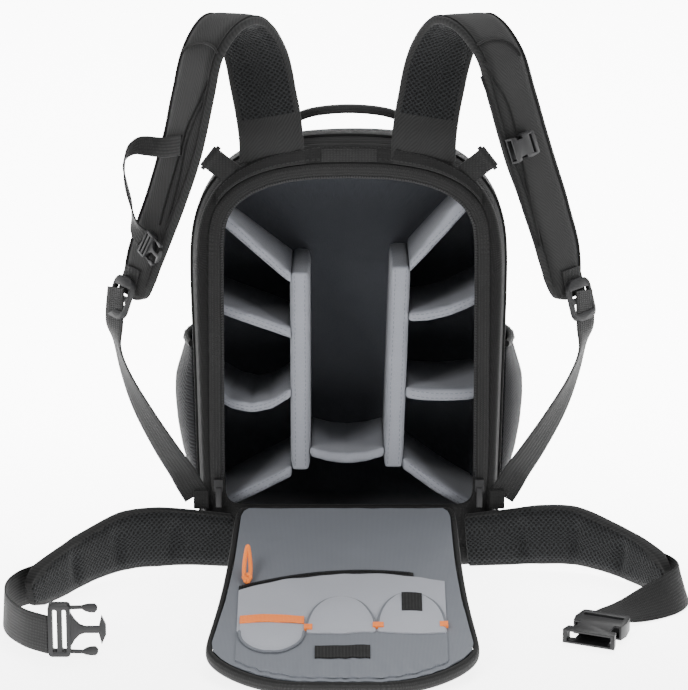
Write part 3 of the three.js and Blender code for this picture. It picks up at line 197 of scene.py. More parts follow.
def body_outline(d, inset):
    share = d / BODY_DEPTH
    tall = BODY_HEIGHT * table_value(BODY_SECTIONS, "depth", "crown", share)
    lift = FRONT_ROUND * table_value(BODY_SECTIONS, "depth", "lift", share)
    return outline(
        BODY_HALF_WIDTH * table_value(BODY_SECTIONS, "depth", "width", share) - inset,
        d * math.tan(LEAN) + lift + inset, tall * SPRING_SHARE, tall - inset, BASE_CORNER, TAPER)


def loft(rings, rest=None, closed=True, loop=False, cap=True):
    """Skin drawn out from the first ring through the others.

    rest gives each place flattened, for the weave.
    """
    bm = bmesh.new()
    flat = bm.verts.layers.float_vector.new("rest")
    rings = [list(r) for r in rings] + ([list(rings[0])] if loop else [])
    now = [bm.verts.new(p) for p in rings[0]]
    count = len(now)
    edges = [bm.edges.new((now[i], now[(i + 1) % count])) for i in range(count if closed else count - 1)]
    rows = [now]
    for ring in rings[1:]:
        made = bmesh.ops.extrude_edge_only(bm, edges=edges)["geom"]
        new = {v for v in made if isinstance(v, bmesh.types.BMVert)}
        now = [next(e.other_vert(v) for e in v.link_edges if e.other_vert(v) in new) for v in now]
        for vert, place in zip(now, ring):
            vert.co = place
        edges = [e for e in made if isinstance(e, bmesh.types.BMEdge)
                 and e.verts[0] in new and e.verts[1] in new]
        rows.append(now)
    for i, row in enumerate(rows):
        for j, vert in enumerate(row):
            if rest is None:
                vert[flat] = (vert.co.x + vert.co.y, vert.co.z, 0)
            else:
                vert[flat] = rest[i % len(rest)][j]
    if loop:
        bmesh.ops.remove_doubles(bm, verts=bm.verts, dist=1e-6)
    elif cap and closed:
        bmesh.ops.holes_fill(bm, edges=[e for e in bm.edges if e.is_boundary], sides=0)
    bmesh.ops.recalc_face_normals(bm, faces=bm.faces)
    return bm


def finished(name, bm, materials, nodes=(), levels=0, sharp=48):
    """Piece from a bmesh: shaded smooth but for its sharp edges, with its materials and body; the CAD parts
    it stands for are hidden.
    """
    mesh = bpy.data.meshes.new(name)
    bm.to_mesh(mesh)
    bm.free()
    made = bpy.data.objects.new(name, mesh)
    bpy.context.collection.objects.link(made)
    for material in materials:
        mesh.materials.append(material)
    mesh.shade_smooth()
    if sharp and not levels:
        mesh.set_sharp_from_angle(angle=math.radians(sharp))
    if levels:
        rounding = made.modifiers.new("rounding", "SUBSURF")
        rounding.levels = levels
        rounding.render_levels = levels
    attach(made, "root")
    if nodes:
        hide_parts(*nodes)
    return made


def cloth(name, thread, shade, pitch, relief, figure, rough=0.86, fuzz=0.03, blotch=0.25, gloss=0.14):
    """Woven, knitted or brushed cloth.

    Its figure repeats at the pitch, in millimetres, on the rest places.
    """
    material = bpy.data.materials.new(name)
    material.use_nodes = True
    tree = material.node_tree
    tree.nodes.clear()
    rest = add_node(tree, "ShaderNodeAttribute", attribute_name="rest").outputs["Vector"]
    if figure == "plain":
        waves = [add_node(tree, "ShaderNodeTexWave", {"Vector": rest, "Scale": math.pi / 10 / (pitch * MM)},
                          bands_direction=way).outputs["Fac"] for way in "XY"]
        height = add_node(tree, "ShaderNodeMath", {0: waves[0], 1: waves[1]}, operation="MULTIPLY").outputs[0]
    elif figure == "twill":
        turned = add_node(tree, "ShaderNodeMapping", {"Vector": rest, "Rotation": (0, 0, math.radians(38))})
        scale = math.pi / 10 / (pitch * MM)
        height = add_node(tree, "ShaderNodeTexWave", {"Vector": turned.outputs[0], "Scale": scale,
                                                      "Distortion": 0.6}).outputs["Fac"]
    elif figure == "rib":
        scale = math.pi / 10 / (pitch * MM)
        ribs = add_node(tree, "ShaderNodeTexWave", {"Vector": rest, "Scale": scale, "Distortion": 0.3},
                        bands_direction="Y").outputs["Fac"]
        warp = add_node(tree, "ShaderNodeTexWave", {"Vector": rest, "Scale": scale / 1.6},
                        bands_direction="X").outputs["Fac"]
        height = add_node(tree, "ShaderNodeMath", {0: ribs, 1: warp, 2: 0.25},
                          operation="MULTIPLY_ADD").outputs[0]
    elif figure == "mesh":
        turned = add_node(tree, "ShaderNodeMapping", {"Vector": rest, "Rotation": (0, 0, math.radians(45))})
        cells = add_node(tree, "ShaderNodeTexVoronoi",
                         {"Vector": turned.outputs[0], "Scale": 1 / (pitch * MM), "Randomness": 0.12},
                         voronoi_dimensions="2D").outputs["Distance"]
        height = add_node(tree, "ShaderNodeMapRange", {"Value": cells, "From Min": 0.22, "From Max": 0.5},
                          interpolation_type="SMOOTHSTEP").outputs[0]
    else:
        height = add_node(tree, "ShaderNodeTexNoise",
                          {"Vector": rest, "Scale": 1 / (pitch * MM), "Detail": 4,
                           "Roughness": 0.7}).outputs["Fac"]
    fibre = add_node(tree, "ShaderNodeTexNoise", {"Vector": rest, "Scale": 1400, "Detail": 2}).outputs["Fac"]
    cloud = add_node(tree, "ShaderNodeTexNoise", {"Vector": rest, "Scale": 14, "Detail": 5}).outputs["Fac"]
    worn = add_node(tree, "ShaderNodeMath", {0: cloud, 1: blotch, 2: -blotch / 2}, operation="MULTIPLY_ADD")
    level = add_node(tree, "ShaderNodeMath", {0: height, 1: worn.outputs[0]}, use_clamp=True)
    colour = add_node(tree, "ShaderNodeMix", {"Factor": level.outputs[0]}, data_type="RGBA")
    # The colour sockets of a Mix node come after its number and vector ones.
    colour.inputs[6].default_value = linear(shade)
    colour.inputs[7].default_value = linear(thread)
    surface = add_node(tree, "ShaderNodeMath", {0: fibre, 1: 0.35, 2: height}, operation="MULTIPLY_ADD")
    bump = add_node(tree, "ShaderNodeBump",
                    {"Height": surface.outputs[0], "Strength": 1.0, "Distance": relief * MM})
    roughness = add_node(tree, "ShaderNodeMapRange",
                         {"Value": cloud, "To Min": rough - 0.05, "To Max": rough + 0.06})
    shader = add_node(tree, "ShaderNodeBsdfPrincipled",
                      {"Base Color": colour.outputs[2], "Roughness": roughness.outputs[0],
                       "Normal": bump.outputs[0], "Sheen Weight": fuzz, "Sheen Roughness": 0.5,
                       "Specular IOR Level": gloss})
    add_node(tree, "ShaderNodeOutputMaterial", {"Surface": shader.outputs[0]})
    return material


def drape(made, push):
    """Moves each vertex of a piece along its normal by what push gives, in millimetres."""
    mesh = made.data
    moves = [v.normal * push(v.co) * MM for v in mesh.vertices]
    for vertex, move in zip(mesh.vertices, moves):
        vertex.co += move


# A plain weave of 0.5 mm threads, drawn at 1.6 mm so that it shows; matt, a little dusty.
outer_nylon = cloth("charcoal_nylon_weave", CHARCOAL_THREAD, CHARCOAL_SHADE, 1.6, 0.25, "plain")


def ring_at(points, d):
    return [in_pack(x, d, h) for x, h in points]


def shrunk(points, share):
    """An outline drawn in towards its middle, for the face it bounds."""
    middle = (min(h for x, h in points) + max(h for x, h in points)) / 2
    return [(x * share, mix(middle, h, share)) for x, h in points]


outer_front = body_outline(BODY_DEPTH, 0)
shell_rings = [ring_at(body_outline(s["depth"] * (BODY_DEPTH - WALL), WALL), s["depth"] * (BODY_DEPTH - WALL))
               for s in reversed(BODY_SECTIONS)]
shell_rings.append(ring_at(body_outline(0, WALL * 0.6), -GAP / 2))
shell_rings.append(ring_at(body_outline(0, 2), -GAP / 2))
shell_rings += [ring_at(body_outline(max(s["depth"] * BODY_DEPTH, 0.6), 0), max(s["depth"] * BODY_DEPTH, 0.6))
                for s in BODY_SECTIONS]
for share, swell in ((0.93, 2), (0.75, 3.5), (0.5, 4.5), (0.25, 5)):
    shell_rings.append(ring_at(shrunk(outer_front, share), BODY_DEPTH + swell))
body_shell = finished("outer_body", loft(shell_rings), [outer_nylon], ["body_shell"],
                      levels=2)
drape(body_shell, lambda co: 1.4 * noise.noise(co * 9) + 0.6 * noise.noise(co * 24))


def surface_of(target):
    """Search tree over a piece as it looks with its modifiers."""
    bpy.context.view_layer.update()
    return BVHTree.FromObject(target, bpy.context.evaluated_depsgraph_get())


def even_steps(points, step, closed=False):
    """Places at even steps along a line through points, in metres."""
    points = list(points) + ([points[0]] if closed else [])
    lengths = [(b - a).length for a, b in zip(points, points[1:])]
    total = sum(lengths)
    count = max(int(round(total / step)), 2)
    places = []
    for k in range(count if closed else count + 1):
        left = total * k / count
        for a, b, long in zip(points, points[1:], lengths):
            if left <= long or b is points[-1]:
                places.append(a.lerp(b, min(left / long, 1) if long else 0))
                break
            left -= long
    return places


def laid(tree, points, step, closed=False):
    """A line dropped onto a surface: pairs of place and normal at even steps."""
    found = []
    for place in even_steps(points, step, closed):
        near, normal, _, _ = tree.find_nearest(place)
        if near is not None:
            found.append((near, normal))
    return found


def cord_line(line, radius, closed=False, sides=6, lift=0.5):
    """Round cord sewn along a line on a surface, as piping is."""
    rings, flat, along = [], [], 0
    for i, (place, normal) in enumerate(line):
        before = line[i - 1 if closed else max(i - 1, 0)][0]
        after = line[(i + 1) % len(line) if closed else min(i + 1, len(line) - 1)][0]
        way = (after - before).normalized()
        side = way.cross(normal).normalized()
        up = side.cross(way).normalized()
        middle = place + up * radius * lift
        turns = [k / sides * math.tau for k in range(sides)]
        rings.append([middle + (side * math.cos(a) + up * math.sin(a)) * radius for a in turns])
        flat.append([(a * radius, along, 0) for a in turns])
        along += (after - before).length / 2
    return loft(rings, flat, loop=closed)


def together(shapes):
    """One bmesh of several."""
    whole = bmesh.new()
    for shape in shapes:
        part = bpy.data.meshes.new("part")
        shape.to_mesh(part)
        shape.free()
        whole.from_mesh(part)
        bpy.data.meshes.remove(part)
    return whole


def stitch_line(line, long=2.6, thick=0.55):
    """Row of raised stitches along a line on a surface, one to each of its steps."""
    bm = bmesh.new()
    flat = bm.verts.layers.float_vector.new("rest")
    for (place, normal), (after, _) in zip(line, line[1:]):
        way = (after - place).normalized()
        side = way.cross(normal).normalized()
        turn = Matrix((way, side, side.cross(way).normalized() * -1)).transposed().to_4x4()
        size = Matrix.Diagonal((long * MM, thick * MM, thick * MM, 1))
        bmesh.ops.create_cube(bm, size=1, matrix=Matrix.Translation((place + after) / 2) @ turn @ size)
    for vert in bm.verts:
        vert[flat] = vert.co
    bmesh.ops.recalc_face_normals(bm, faces=bm.faces)
    return bm


webbing_thread = cloth("sewing_thread", "#2a2a2a", "#1c1c1c", 0.8, 0.1, "brushed")
piping_cord = cloth("bound_piping", "#151515", "#0c0c0c", 1.4, 0.15, "plain")
shell_tree = surface_of(body_shell)
shell_seams = []
for depth_share in (0.07, 0.9):
    seam_d = depth_share * BODY_DEPTH
    seam = laid(shell_tree, ring_at(body_outline(seam_d, 0), seam_d), 0.006, closed=True)
    shell_seams.append(cord_line(seam, 0.0016, closed=True))
finished("outer_body_piping", together(shell_seams), [piping_cord])

# Grey loop-faced lining glued inside the walls, so that the dividers stick to it anywhere. Its edge
# shows as a thin light line at the corners of the opening.
LINER_INSET = WALL + GAP + LINING
liner_rings = []
for inset, order in ((LINER_INSET, reversed(BODY_SECTIONS)), (WALL + GAP, BODY_SECTIONS)):
    for s in order:
        liner_d = s["depth"] * (BODY_DEPTH - inset)
        liner_rings.append(ring_at(body_outline(liner_d, inset), liner_d))
# Brushed nylon loops about 1 mm long: no figure, a soft bright edge at grazing light.
divider_loop = cloth("grey_loop_cloth", "#7c7e84", "#606268", 1.1, 0.35, "brushed", rough=0.92, fuzz=0.1)
# The walls are lined with the same cloth as the dividers; its grey here is darkened to paint in the shade
# deep inside the body.
shaded_wall_loop = cloth("painted_shade_grey_loop_cloth", "#55575c", "#3e4045", 1.1, 0.35, "brushed", rough=0.92, fuzz=0.1)
finished("grey_lining", loft(liner_rings), [shaded_wall_loop], ["body_lining"],
         levels=2)

# Padded frame round the back opening: cloth over foam, with the yoke above it, where the straps are
# sewn in, and a raised zip track up one side, over the arch and down the other.
RIM_THICK = 6
OPENING = {"half": 121, "foot": 62, "crown": 383, "corner": 14}
ZIP_BAND_WIDTH = 15
RIM_FRONT = -(GAP + RIM_THICK)


def opening_outline(margin):
    spring = mix(OPENING["foot"], OPENING["crown"], 0.8)
    return outline(OPENING["half"] + margin, OPENING["foot"] - margin, spring,
                   OPENING["crown"] + margin, OPENING["corner"])


def between(inner, outer, share, d):
    """Ring a share of the way from the opening's edge to the frame's outer edge."""
    return [in_pack(mix(a[0], b[0], share), d, mix(a[1], b[1], share)) for a, b in zip(inner, outer)]


rim_hole, rim_edge = opening_outline(0), body_outline(0, 0)
RIM_SECTION = [
    {"share": 0, "d": -GAP}, {"share": 0, "d": RIM_FRONT + 1.6}, {"share": 0.05, "d": RIM_FRONT + 0.2},
    {"share": 0.3, "d": RIM_FRONT}, {"share": 0.58, "d": RIM_FRONT}, {"share": 0.63, "d": RIM_FRONT + 0.5},
    {"share": 0.7, "d": RIM_FRONT - 0.9}, {"share": 0.82, "d": RIM_FRONT - 1.4},
    {"share": 0.93, "d": RIM_FRONT - 0.2}, {"share": 1, "d": RIM_FRONT + 3}, {"share": 1, "d": -GAP},
]
rim_rings = [between(rim_hole, rim_edge, s["share"], s["d"]) for s in RIM_SECTION]
back_frame = finished("padded_back_frame", loft(rim_rings, loop=True), [outer_nylon],
                      ["back_rim"], levels=2)
drape(back_frame, lambda co: 0.5 * noise.noise(co * 30))

band_near, band_far = opening_outline(0)[5:-4], opening_outline(ZIP_BAND_WIDTH)[5:-4]
BAND_SECTION = [
    {"share": 0, "rise": 0.1}, {"share": 0.01, "rise": 1.1}, {"share": 0.16, "rise": 1.3},
    {"share": 0.22, "rise": 2.3}, {"share": 0.55, "rise": 2.6}, {"share": 0.84, "rise": 2.2},
    {"share": 0.9, "rise": 1.3}, {"share": 1, "rise": 1.1}, {"share": 1, "rise": 0.1},
]
band_rings, band_rest, band_along = [], [], 0
for i, (near, far) in enumerate(zip(band_near, band_far)):
    if i:
        band_along += math.dist(near, band_near[i - 1])
    band_rings.append([in_pack(mix(near[0], far[0], s["share"]), RIM_FRONT - GAP - s["rise"],
                               mix(near[1], far[1], s["share"])) for s in BAND_SECTION])
    band_rest.append([(s["share"] * ZIP_BAND_WIDTH * MM, band_along * MM, 0) for s in BAND_SECTION])
# Nylon tape with fine cross ribs, 1.5 mm apart.
webbing_black = cloth("black_nylon_webbing", "#1c1c1c", "#0a0a0a", 1.9, 0.3, "rib", rough=0.8, gloss=0.2)
zip_track = finished("zip_track", loft(band_rings, band_rest), [webbing_black], ["zip_band"],
                     levels=2)


def plastic(name, body, rough=0.5):
    """Moulded ABS or acetal: even colour, a faint orange-peel skin, satin gloss."""
    material = bpy.data.materials.new(name)
    material.use_nodes = True
    tree = material.node_tree
    tree.nodes.clear()
    place = add_node(tree, "ShaderNodeTexCoord").outputs["Object"]
    skin = add_node(tree, "ShaderNodeTexNoise", {"Vector": place, "Scale": 900, "Detail": 3}).outputs["Fac"]
    rub = add_node(tree, "ShaderNodeTexNoise", {"Vector": place, "Scale": 60, "Detail": 4}).outputs["Fac"]
    bump = add_node(tree, "ShaderNodeBump", {"Height": skin, "Strength": 0.5, "Distance": 0.0001})
    roughness = add_node(tree, "ShaderNodeMapRange",
                         {"Value": rub, "To Min": rough - 0.1, "To Max": rough + 0.12})
    colour = add_node(tree, "ShaderNodeMix", {"Factor": rub}, data_type="RGBA")
    colour.inputs[6].default_value = linear(body)
    colour.inputs[7].default_value = tuple(c * 1.5 for c in linear(body)[:3]) + (1,)
    shader = add_node(tree, "ShaderNodeBsdfPrincipled",
                      {"Base Color": colour.outputs[2], "Roughness": roughness.outputs[0], "IOR": 1.53,
                       "Specular IOR Level": 0.22,
                       "Normal": bump.outputs[0]})
    add_node(tree, "ShaderNodeOutputMaterial", {"Surface": shader.outputs[0]})
    return material


moulded_black = plastic("moulded_black_acetal", "#111112")
TOOTH_PITCH = 0.0026


def zip_teeth(line, long, thick):
    """Row of coil teeth across a line on a surface."""
    bm = bmesh.new()
    for (place, normal), (after, _) in zip(line, line[1:]):
        way = (after - place).normalized()
        side = way.cross(normal).normalized()
        turn = Matrix((side, way, normal)).transposed().to_4x4()
        size = Matrix.Diagonal((long * MM, TOOTH_PITCH * 0.55, thick * MM, 1))
        raised = Matrix.Translation(place + normal * thick * MM * 0.3)
        bmesh.ops.create_cube(bm, size=1, matrix=raised @ turn @ size)
    bmesh.ops.recalc_face_normals(bm, faces=bm.faces)
    return bm


track_tree = surface_of(zip_track)
teeth_path = [in_pack(mix(a[0], b[0], 0.06), RIM_FRONT - 4, mix(a[1], b[1], 0.06))
              for a, b in zip(band_near, band_far)]
finished("zip_track_teeth", zip_teeth(laid(track_tree, teeth_path, TOOTH_PITCH), 2.2, 1.3),
         [moulded_black], sharp=30)
track_seams = []
for share in (0.3, 0.78):
    path = [in_pack(mix(a[0], b[0], share), RIM_FRONT - 5, mix(a[1], b[1], share))
            for a, b in zip(band_near, band_far)]
    track_seams.append(stitch_line(laid(track_tree, path, 0.0042)))
finished("zip_track_stitches", together(track_seams), [webbing_thread])


def sight(px, py):
    """Direction from the camera through a place in the frame, in its pixels."""
    ahead = Vector((0, math.cos(CAMERA_TILT), -math.sin(CAMERA_TILT)))
    up = Vector((0, math.sin(CAMERA_TILT), math.cos(CAMERA_TILT)))
    across = Vector((1, 0, 0)) * ((px - FRAME_WIDE / 2) / FOCAL_PIXELS)
    return (ahead + across + up * ((FRAME_HIGH / 2 - py) / FOCAL_PIXELS)).normalized()


def seen_on(tree, pixels):
    """Places where lines of sight through pixels meet a surface."""
    hits = [tree.ray_cast(CAMERA_PLACE, sight(px, py))[0] for px, py in pixels]
    return [h for h in hits if h is not None]


def curve_through(points, steps):
    """Smooth line through points, with steps between each two."""
    line = []
    for i in range(len(points) - 1):
        a, b = points[i], points[i + 1]
        before, after = points[max(i - 1, 0)], points[min(i + 2, len(points) - 1)]
        for k in range(steps):
            t = k / steps
            line.append(0.5 * ((2 * a) + (b - before) * t + (2 * before - 5 * a + 4 * b - after) * t * t
                               + (3 * a - 3 * b + after - before) * t ** 3))
    return line + [points[-1]]


# Yoke: a panel of the same cloth sewn over the frame above the zip track. It covers the feet of
# the straps and of the corner tabs, and is stitched along both edges.
YOKE_REACH = 128


def arch_height(x, half, spring, crown):
    """Height of a blunt arch at a place across."""
    return spring + (crown - spring) * max(1 - (abs(x) / half) ** ARCH_POWER, 0) ** (1 / ARCH_POWER)


def yoke_edges(x):
    """Lower and upper edge of the yoke at a place across, up the back."""
    low = arch_height(x, OPENING["half"] + ZIP_BAND_WIDTH, mix(OPENING["foot"], OPENING["crown"], 0.8),
                      OPENING["crown"] + ZIP_BAND_WIDTH)
    tall = BODY_HEIGHT * BODY_SECTIONS[0]["crown"]
    high = arch_height(x, BODY_HALF_WIDTH * BODY_SECTIONS[0]["width"], tall * SPRING_SHARE, tall)
    return low + 0.5, high - 2.5


def yoke_lift(x, v):
    """Height of the yoke over the frame: low between the straps, raised over their feet and the tabs."""
    over = 1 / (1 + math.exp(-(abs(x) - 42) / 1.6)) * 6.2
    out = 1 / (1 + math.exp(-(abs(x) - 107) / 2.5)) * 2.0
    sewn = min(min(v, 1 - v) / 0.2, 1) ** 0.5
    return 0.5 + (0.45 + over - out) * mix(0.55, 1, sewn) + 0.35 * noise.noise(Vector((x * 0.06, v * 2, 0)))


yoke_rings, yoke_rest = [], []
for k in range(121):
    x = mix(-YOKE_REACH, YOKE_REACH, k / 120)
    low, high = yoke_edges(x)
    shares = [j / 10 for j in range(11)]
    yoke_rings.append([in_pack(x, RIM_FRONT - yoke_lift(x, v), mix(low, high, v)) for v in shares]
                      + [in_pack(x, RIM_FRONT - 0.2, mix(low, high, v)) for v in reversed(shares)])
    yoke_rest.append([(x * MM, mix(low, high, v) * MM, 0) for v in shares + shares[::-1]])
yoke = finished("sewn_yoke", loft(yoke_rings, yoke_rest), [outer_nylon])
yoke_tree = surface_of(yoke)
yoke_seams = []
for v in (0.14, 0.24, 0.9):
    path = [in_pack(x, RIM_FRONT - 9, mix(*yoke_edges(x), v))
            for x in range(-YOKE_REACH + 2, YOKE_REACH - 1, 4)]
    yoke_seams.append(stitch_line(laid(yoke_tree, path, 0.0042), long=2.8, thick=0.5))
finished("yoke_stitches", together(yoke_seams), [webbing_thread])


def softened(name, nodes, materials, radius, levels=0):
    """Hard piece from its solid, with every sharp edge rounded as moulding or folding leaves it."""
    bm = bmesh.new()
    for node in nodes:
        bm.from_mesh(frame["nodes"][node].data)
    bmesh.ops.remove_doubles(bm, verts=bm.verts, dist=2e-5)
    bmesh.ops.dissolve_limit(bm, angle_limit=math.radians(3), verts=bm.verts, edges=bm.edges)
    edges = [e for e in bm.edges if len(e.link_faces) == 2 and e.calc_face_angle(0) > math.radians(30)]
    bmesh.ops.bevel(bm, geom=edges, offset=radius * MM, offset_type="OFFSET", segments=2, profile=0.5,
                    affect="EDGES", material=-1, clamp_overlap=True)
    flat = bm.verts.layers.float_vector.new("rest")
    for vert in bm.verts:
        vert[flat] = (vert.co.x, vert.co.y + vert.co.z, 0)
    return finished(name, bm, materials, nodes, levels=levels, sharp=35)


softened("bare_yoke_patch", ["name_patch"], [webbing_black], 0.5)
for side_name in ("left", "right"):
    softened("main_zip_slider_" + side_name, ["zip_slider_" + side_name], [moulded_black],
             0.6)

# Padded dividers: foam boards in loop cloth with hook ends, pressed against the lining. The cloth
# swells between its sewn edges.
DIVIDERS = ["divider_column_left", "divider_column_right", "divider_centre"]
DIVIDERS += ["divider_" + side + "_" + place
             for side in ("left", "right") for place in ("top", "high", "low", "foot")]
divider_shapes = {}
for node in DIVIDERS:
    bm = bmesh.new()
    bm.from_mesh(frame["nodes"][node].data)
    bmesh.ops.remove_doubles(bm, verts=bm.verts, dist=2e-5)
    bmesh.ops.recalc_face_normals(bm, faces=bm.faces)
    mesh = bpy.data.meshes.new(node)
    bm.to_mesh(mesh)
    bm.free()
    shape = bpy.data.objects.new("board_" + node, mesh)
    bpy.context.collection.objects.link(shape)
    remesh = shape.modifiers.new("remesh", "REMESH")
    remesh.mode = "VOXEL"
    remesh.voxel_size = 0.003
    remesh.use_smooth_shade = True
    divider_shapes[node] = shape
bpy.context.view_layer.update()
puffing = {}
for node, shape in divider_shapes.items():
    even = bpy.data.meshes.new_from_object(shape.evaluated_get(bpy.context.evaluated_depsgraph_get()))
    shape.modifiers.clear()
    shape.data = even
    puffing[node] = [v.co.copy() for v in even.vertices]
for shape in divider_shapes.values():
    puff = shape.modifiers.new("puff", "CLOTH")
    puff.settings.use_pressure = True
    puff.settings.uniform_pressure_force = 1.5
    puff.settings.effector_weights.gravity = 0
    puff.settings.quality = 4
    puff.point_cache.frame_end = 14
for step in range(1, 13):
    bpy.context.scene.frame_set(step)
PUFF_CAP = 0.0011
for node, shape in divider_shapes.items():
    swollen = bpy.data.meshes.new_from_object(shape.evaluated_get(bpy.context.evaluated_depsgraph_get()))
    shape.modifiers.clear()
    bm = bmesh.new()
    bm.from_mesh(swollen)
    flat = bm.verts.layers.float_vector.new("rest")
    for vert, start in zip(bm.verts, puffing[node]):
        move = vert.co - start
        if move.length > PUFF_CAP:
            vert.co = start + move.normalized() * PUFF_CAP
        vert[flat] = (vert.co.x, vert.co.z + vert.co.y, 0)
    bpy.data.objects.remove(shape)
    finished("padded_" + node, bm, [divider_loop], [node], levels=1)
bpy.context.scene.frame_set(1)


DIVIDER_SETBACK, COLUMN_THICK, COLUMN_OFFSET = 14, 17, 48
COLUMNS = {
    "left": {"side": -1, "top": 0.681, "foot": 0.217, "top_across": 1, "foot_across": 0.99},
    "right": {"side": 1, "top": 0.695, "foot": 0.222, "top_across": 1.05, "foot_across": 0.9},
}
SIDE_DIVIDERS = [
    {"name": "left_top", "column": "left", "wall": 0.825, "inner": 0.664, "sag": 0, "thick": 0.027},
    {"name": "left_high", "column": "left", "wall": 0.606, "inner": 0.538, "sag": 0, "thick": 0.025},
    {"name": "left_low", "column": "left", "wall": 0.402, "inner": 0.4, "sag": -0.038, "thick": 0.023},
    {"name": "left_foot", "column": "left", "wall": 0.126, "inner": 0.214, "sag": 0, "thick": 0.027},
    {"name": "right_top", "column": "right", "wall": 0.868, "inner": 0.69, "sag": 0, "thick": 0.029},
    {"name": "right_high", "column": "right", "wall": 0.637, "inner": 0.577, "sag": -0.016, "thick": 0.024},
    {"name": "right_low", "column": "right", "wall": 0.403, "inner": 0.4, "sag": -0.009, "thick": 0.027},
    {"name": "right_foot", "column": "right", "wall": 0.119, "inner": 0.235, "sag": -0.009, "thick": 0.027},
]
pale_thread = cloth("pale_grey_thread", "#5c5e63", "#484a4f", 0.8, 0.1, "brushed")
divider_seams = []


def seams_on(piece, ends, thick, sag=0):
    """Seams 2.5 mm in from the two long edges of a divider's front face."""
    tree = surface_of(piece)
    (x0, h0), (x1, h1) = ends
    way = Vector((x1 - x0, 0, h1 - h0)).normalized()
    side = Vector((-way.z, 0, way.x))
    for turn in (-1, 1):
        path = []
        for k in range(25):
            t = k / 24
            h = mix(h0, h1, t) + sag * 4 * t * (1 - t)
            off = side * turn * (thick / 2 - 2.6)
            path.append(in_pack(mix(x0, x1, t) + off.x, DIVIDER_SETBACK - 3, h + off.z))
        divider_seams.append(stitch_line(laid(tree, path, 0.0046), long=2.6, thick=0.5))


for column_name, column in COLUMNS.items():
    foot, top = column["foot"] * BODY_HEIGHT + 3, column["top"] * BODY_HEIGHT - 3
    ends = [(column["side"] * COLUMN_OFFSET * column["foot_across"], foot),
            (column["side"] * COLUMN_OFFSET * column["top_across"], top)]
    seams_on(bpy.data.objects["padded_divider_column_" + column_name], ends, COLUMN_THICK)
for row in SIDE_DIVIDERS:
    column = COLUMNS[row["column"]]
    wall_x = column["side"] * (BODY_HALF_WIDTH * 0.96 - LINER_INSET - 4)
    inner_x = column["side"] * (COLUMN_OFFSET + COLUMN_THICK / 2 + 4)
    seams_on(bpy.data.objects["padded_divider_" + row["name"]],
             [(wall_x, row["wall"] * BODY_HEIGHT - 2), (inner_x, row["inner"] * BODY_HEIGHT)],
             row["thick"] * BODY_HEIGHT, row["sag"] * BODY_HEIGHT)
finished("divider_stitches", together(divider_seams), [pale_thread])

# Carrying handle of rolled webbing, sewn into the top seam.
HANDLE_SPAN, HANDLE_RISE, HANDLE_RADIUS = 58, 20, 5
handle_points = [Vector((across * HANDLE_SPAN, 0, up)) for across, up in
                 ((-1, -0.2), (-0.93, 0.42), (-0.6, 0.84), (0, 1), (0.6, 0.84), (0.93, 0.42), (1, -0.2))]
handle_line = curve_through(handle_points, 8)
handle_rings, handle_rest, handle_along = [], [], 0
for i, point in enumerate(handle_line):
    before, after = handle_line[max(i - 1, 0)], handle_line[min(i + 1, len(handle_line) - 1)]
    place = in_pack(point.x, 0.14 * BODY_DEPTH, BODY_HEIGHT + HANDLE_RADIUS * 0.5 + point.z * HANDLE_RISE)
    way = Vector(((after.x - before.x), 0, (after.z - before.z) * HANDLE_RISE)).normalized()
    side = Vector((0, 1, 0))
    up = way.cross(side)
    turns = [k / 16 * math.tau for k in range(16)]
    handle_rings.append([place + (side * math.cos(a) + up * math.sin(a) * 0.92) * HANDLE_RADIUS * MM
                         for a in turns])
    handle_along += (after - before).length * 0.5
    handle_rest.append([(a * HANDLE_RADIUS * MM, handle_along * MM, 0) for a in turns])
finished("rolled_grab_handle", loft(handle_rings, handle_rest), [webbing_black],
         ["grab_handle"], levels=1)

# Tabs of webbing folded round a small moulded bar at the upper corners.
for side_name in ("left", "right"):
    softened("corner_webbing_tab_" + side_name, ["corner_tab_" + side_name], [webbing_black], 0.5)
    softened("corner_bar_rod_" + side_name, ["corner_bar_" + side_name], [moulded_black],
             0.4)

# Shoulder straps: foam pads with knitted spacer mesh on the side that rests on the wearer, inside a
# narrow cloth border, and a twill cover with piping on the outside.
STRAP_WIDTH, STRAP_THICK, STRAP_ROOT, STRAP_SPREAD, STRAP_LOOP = 62, 11, 74, 125, 68
STRAP_ROWS = [
    {"up": 0.938, "left": 0, "right": 0, "loop": 0, "turn": 0, "wide": 1, "across": 0},
    {"up": 1.01, "left": 0.01, "right": 0.01, "loop": 0, "turn": 0, "wide": 1, "across": 0},
    {"up": 1.085, "left": 0.05, "right": 0.05, "loop": 0.02, "turn": 2, "wide": 1, "across": 0},
    {"up": 1.18, "left": 0.115, "right": 0.12, "loop": 0.1, "turn": 8, "wide": 1, "across": 0},
    {"up": 1.262, "left": 0.23, "right": 0.25, "loop": 0.34, "turn": 32, "wide": 1, "across": 0},
    {"up": 1.262, "left": 0.37, "right": 0.4, "loop": 0.66, "turn": 44, "wide": 1, "across": 0},
    {"up": 1.2, "left": 0.51, "right": 0.56, "loop": 0.93, "turn": 50, "wide": 1, "across": 0},
    {"up": 1.11, "left": 0.58, "right": 0.65, "loop": 1, "turn": 50, "wide": 1, "across": 0},
    {"up": 0.99, "left": 0.67, "right": 0.77, "loop": 1, "turn": 50, "wide": 1, "across": 0},
    {"up": 0.875, "left": 0.795, "right": 0.9, "loop": 1, "turn": 50, "wide": 0.96, "across": 0},
    {"up": 0.765, "left": 0.93, "right": 1.01, "loop": 1, "turn": 50, "wide": 0.9, "across": 0},
    {"up": 0.7, "left": 1.01, "right": 1.07, "loop": 1, "turn": 50, "wide": 0.74, "across": 0.08},
    {"up": 0.655, "left": 1.03, "right": 1.09, "loop": 1, "turn": 50, "wide": 0.4, "across": 0.17},
]
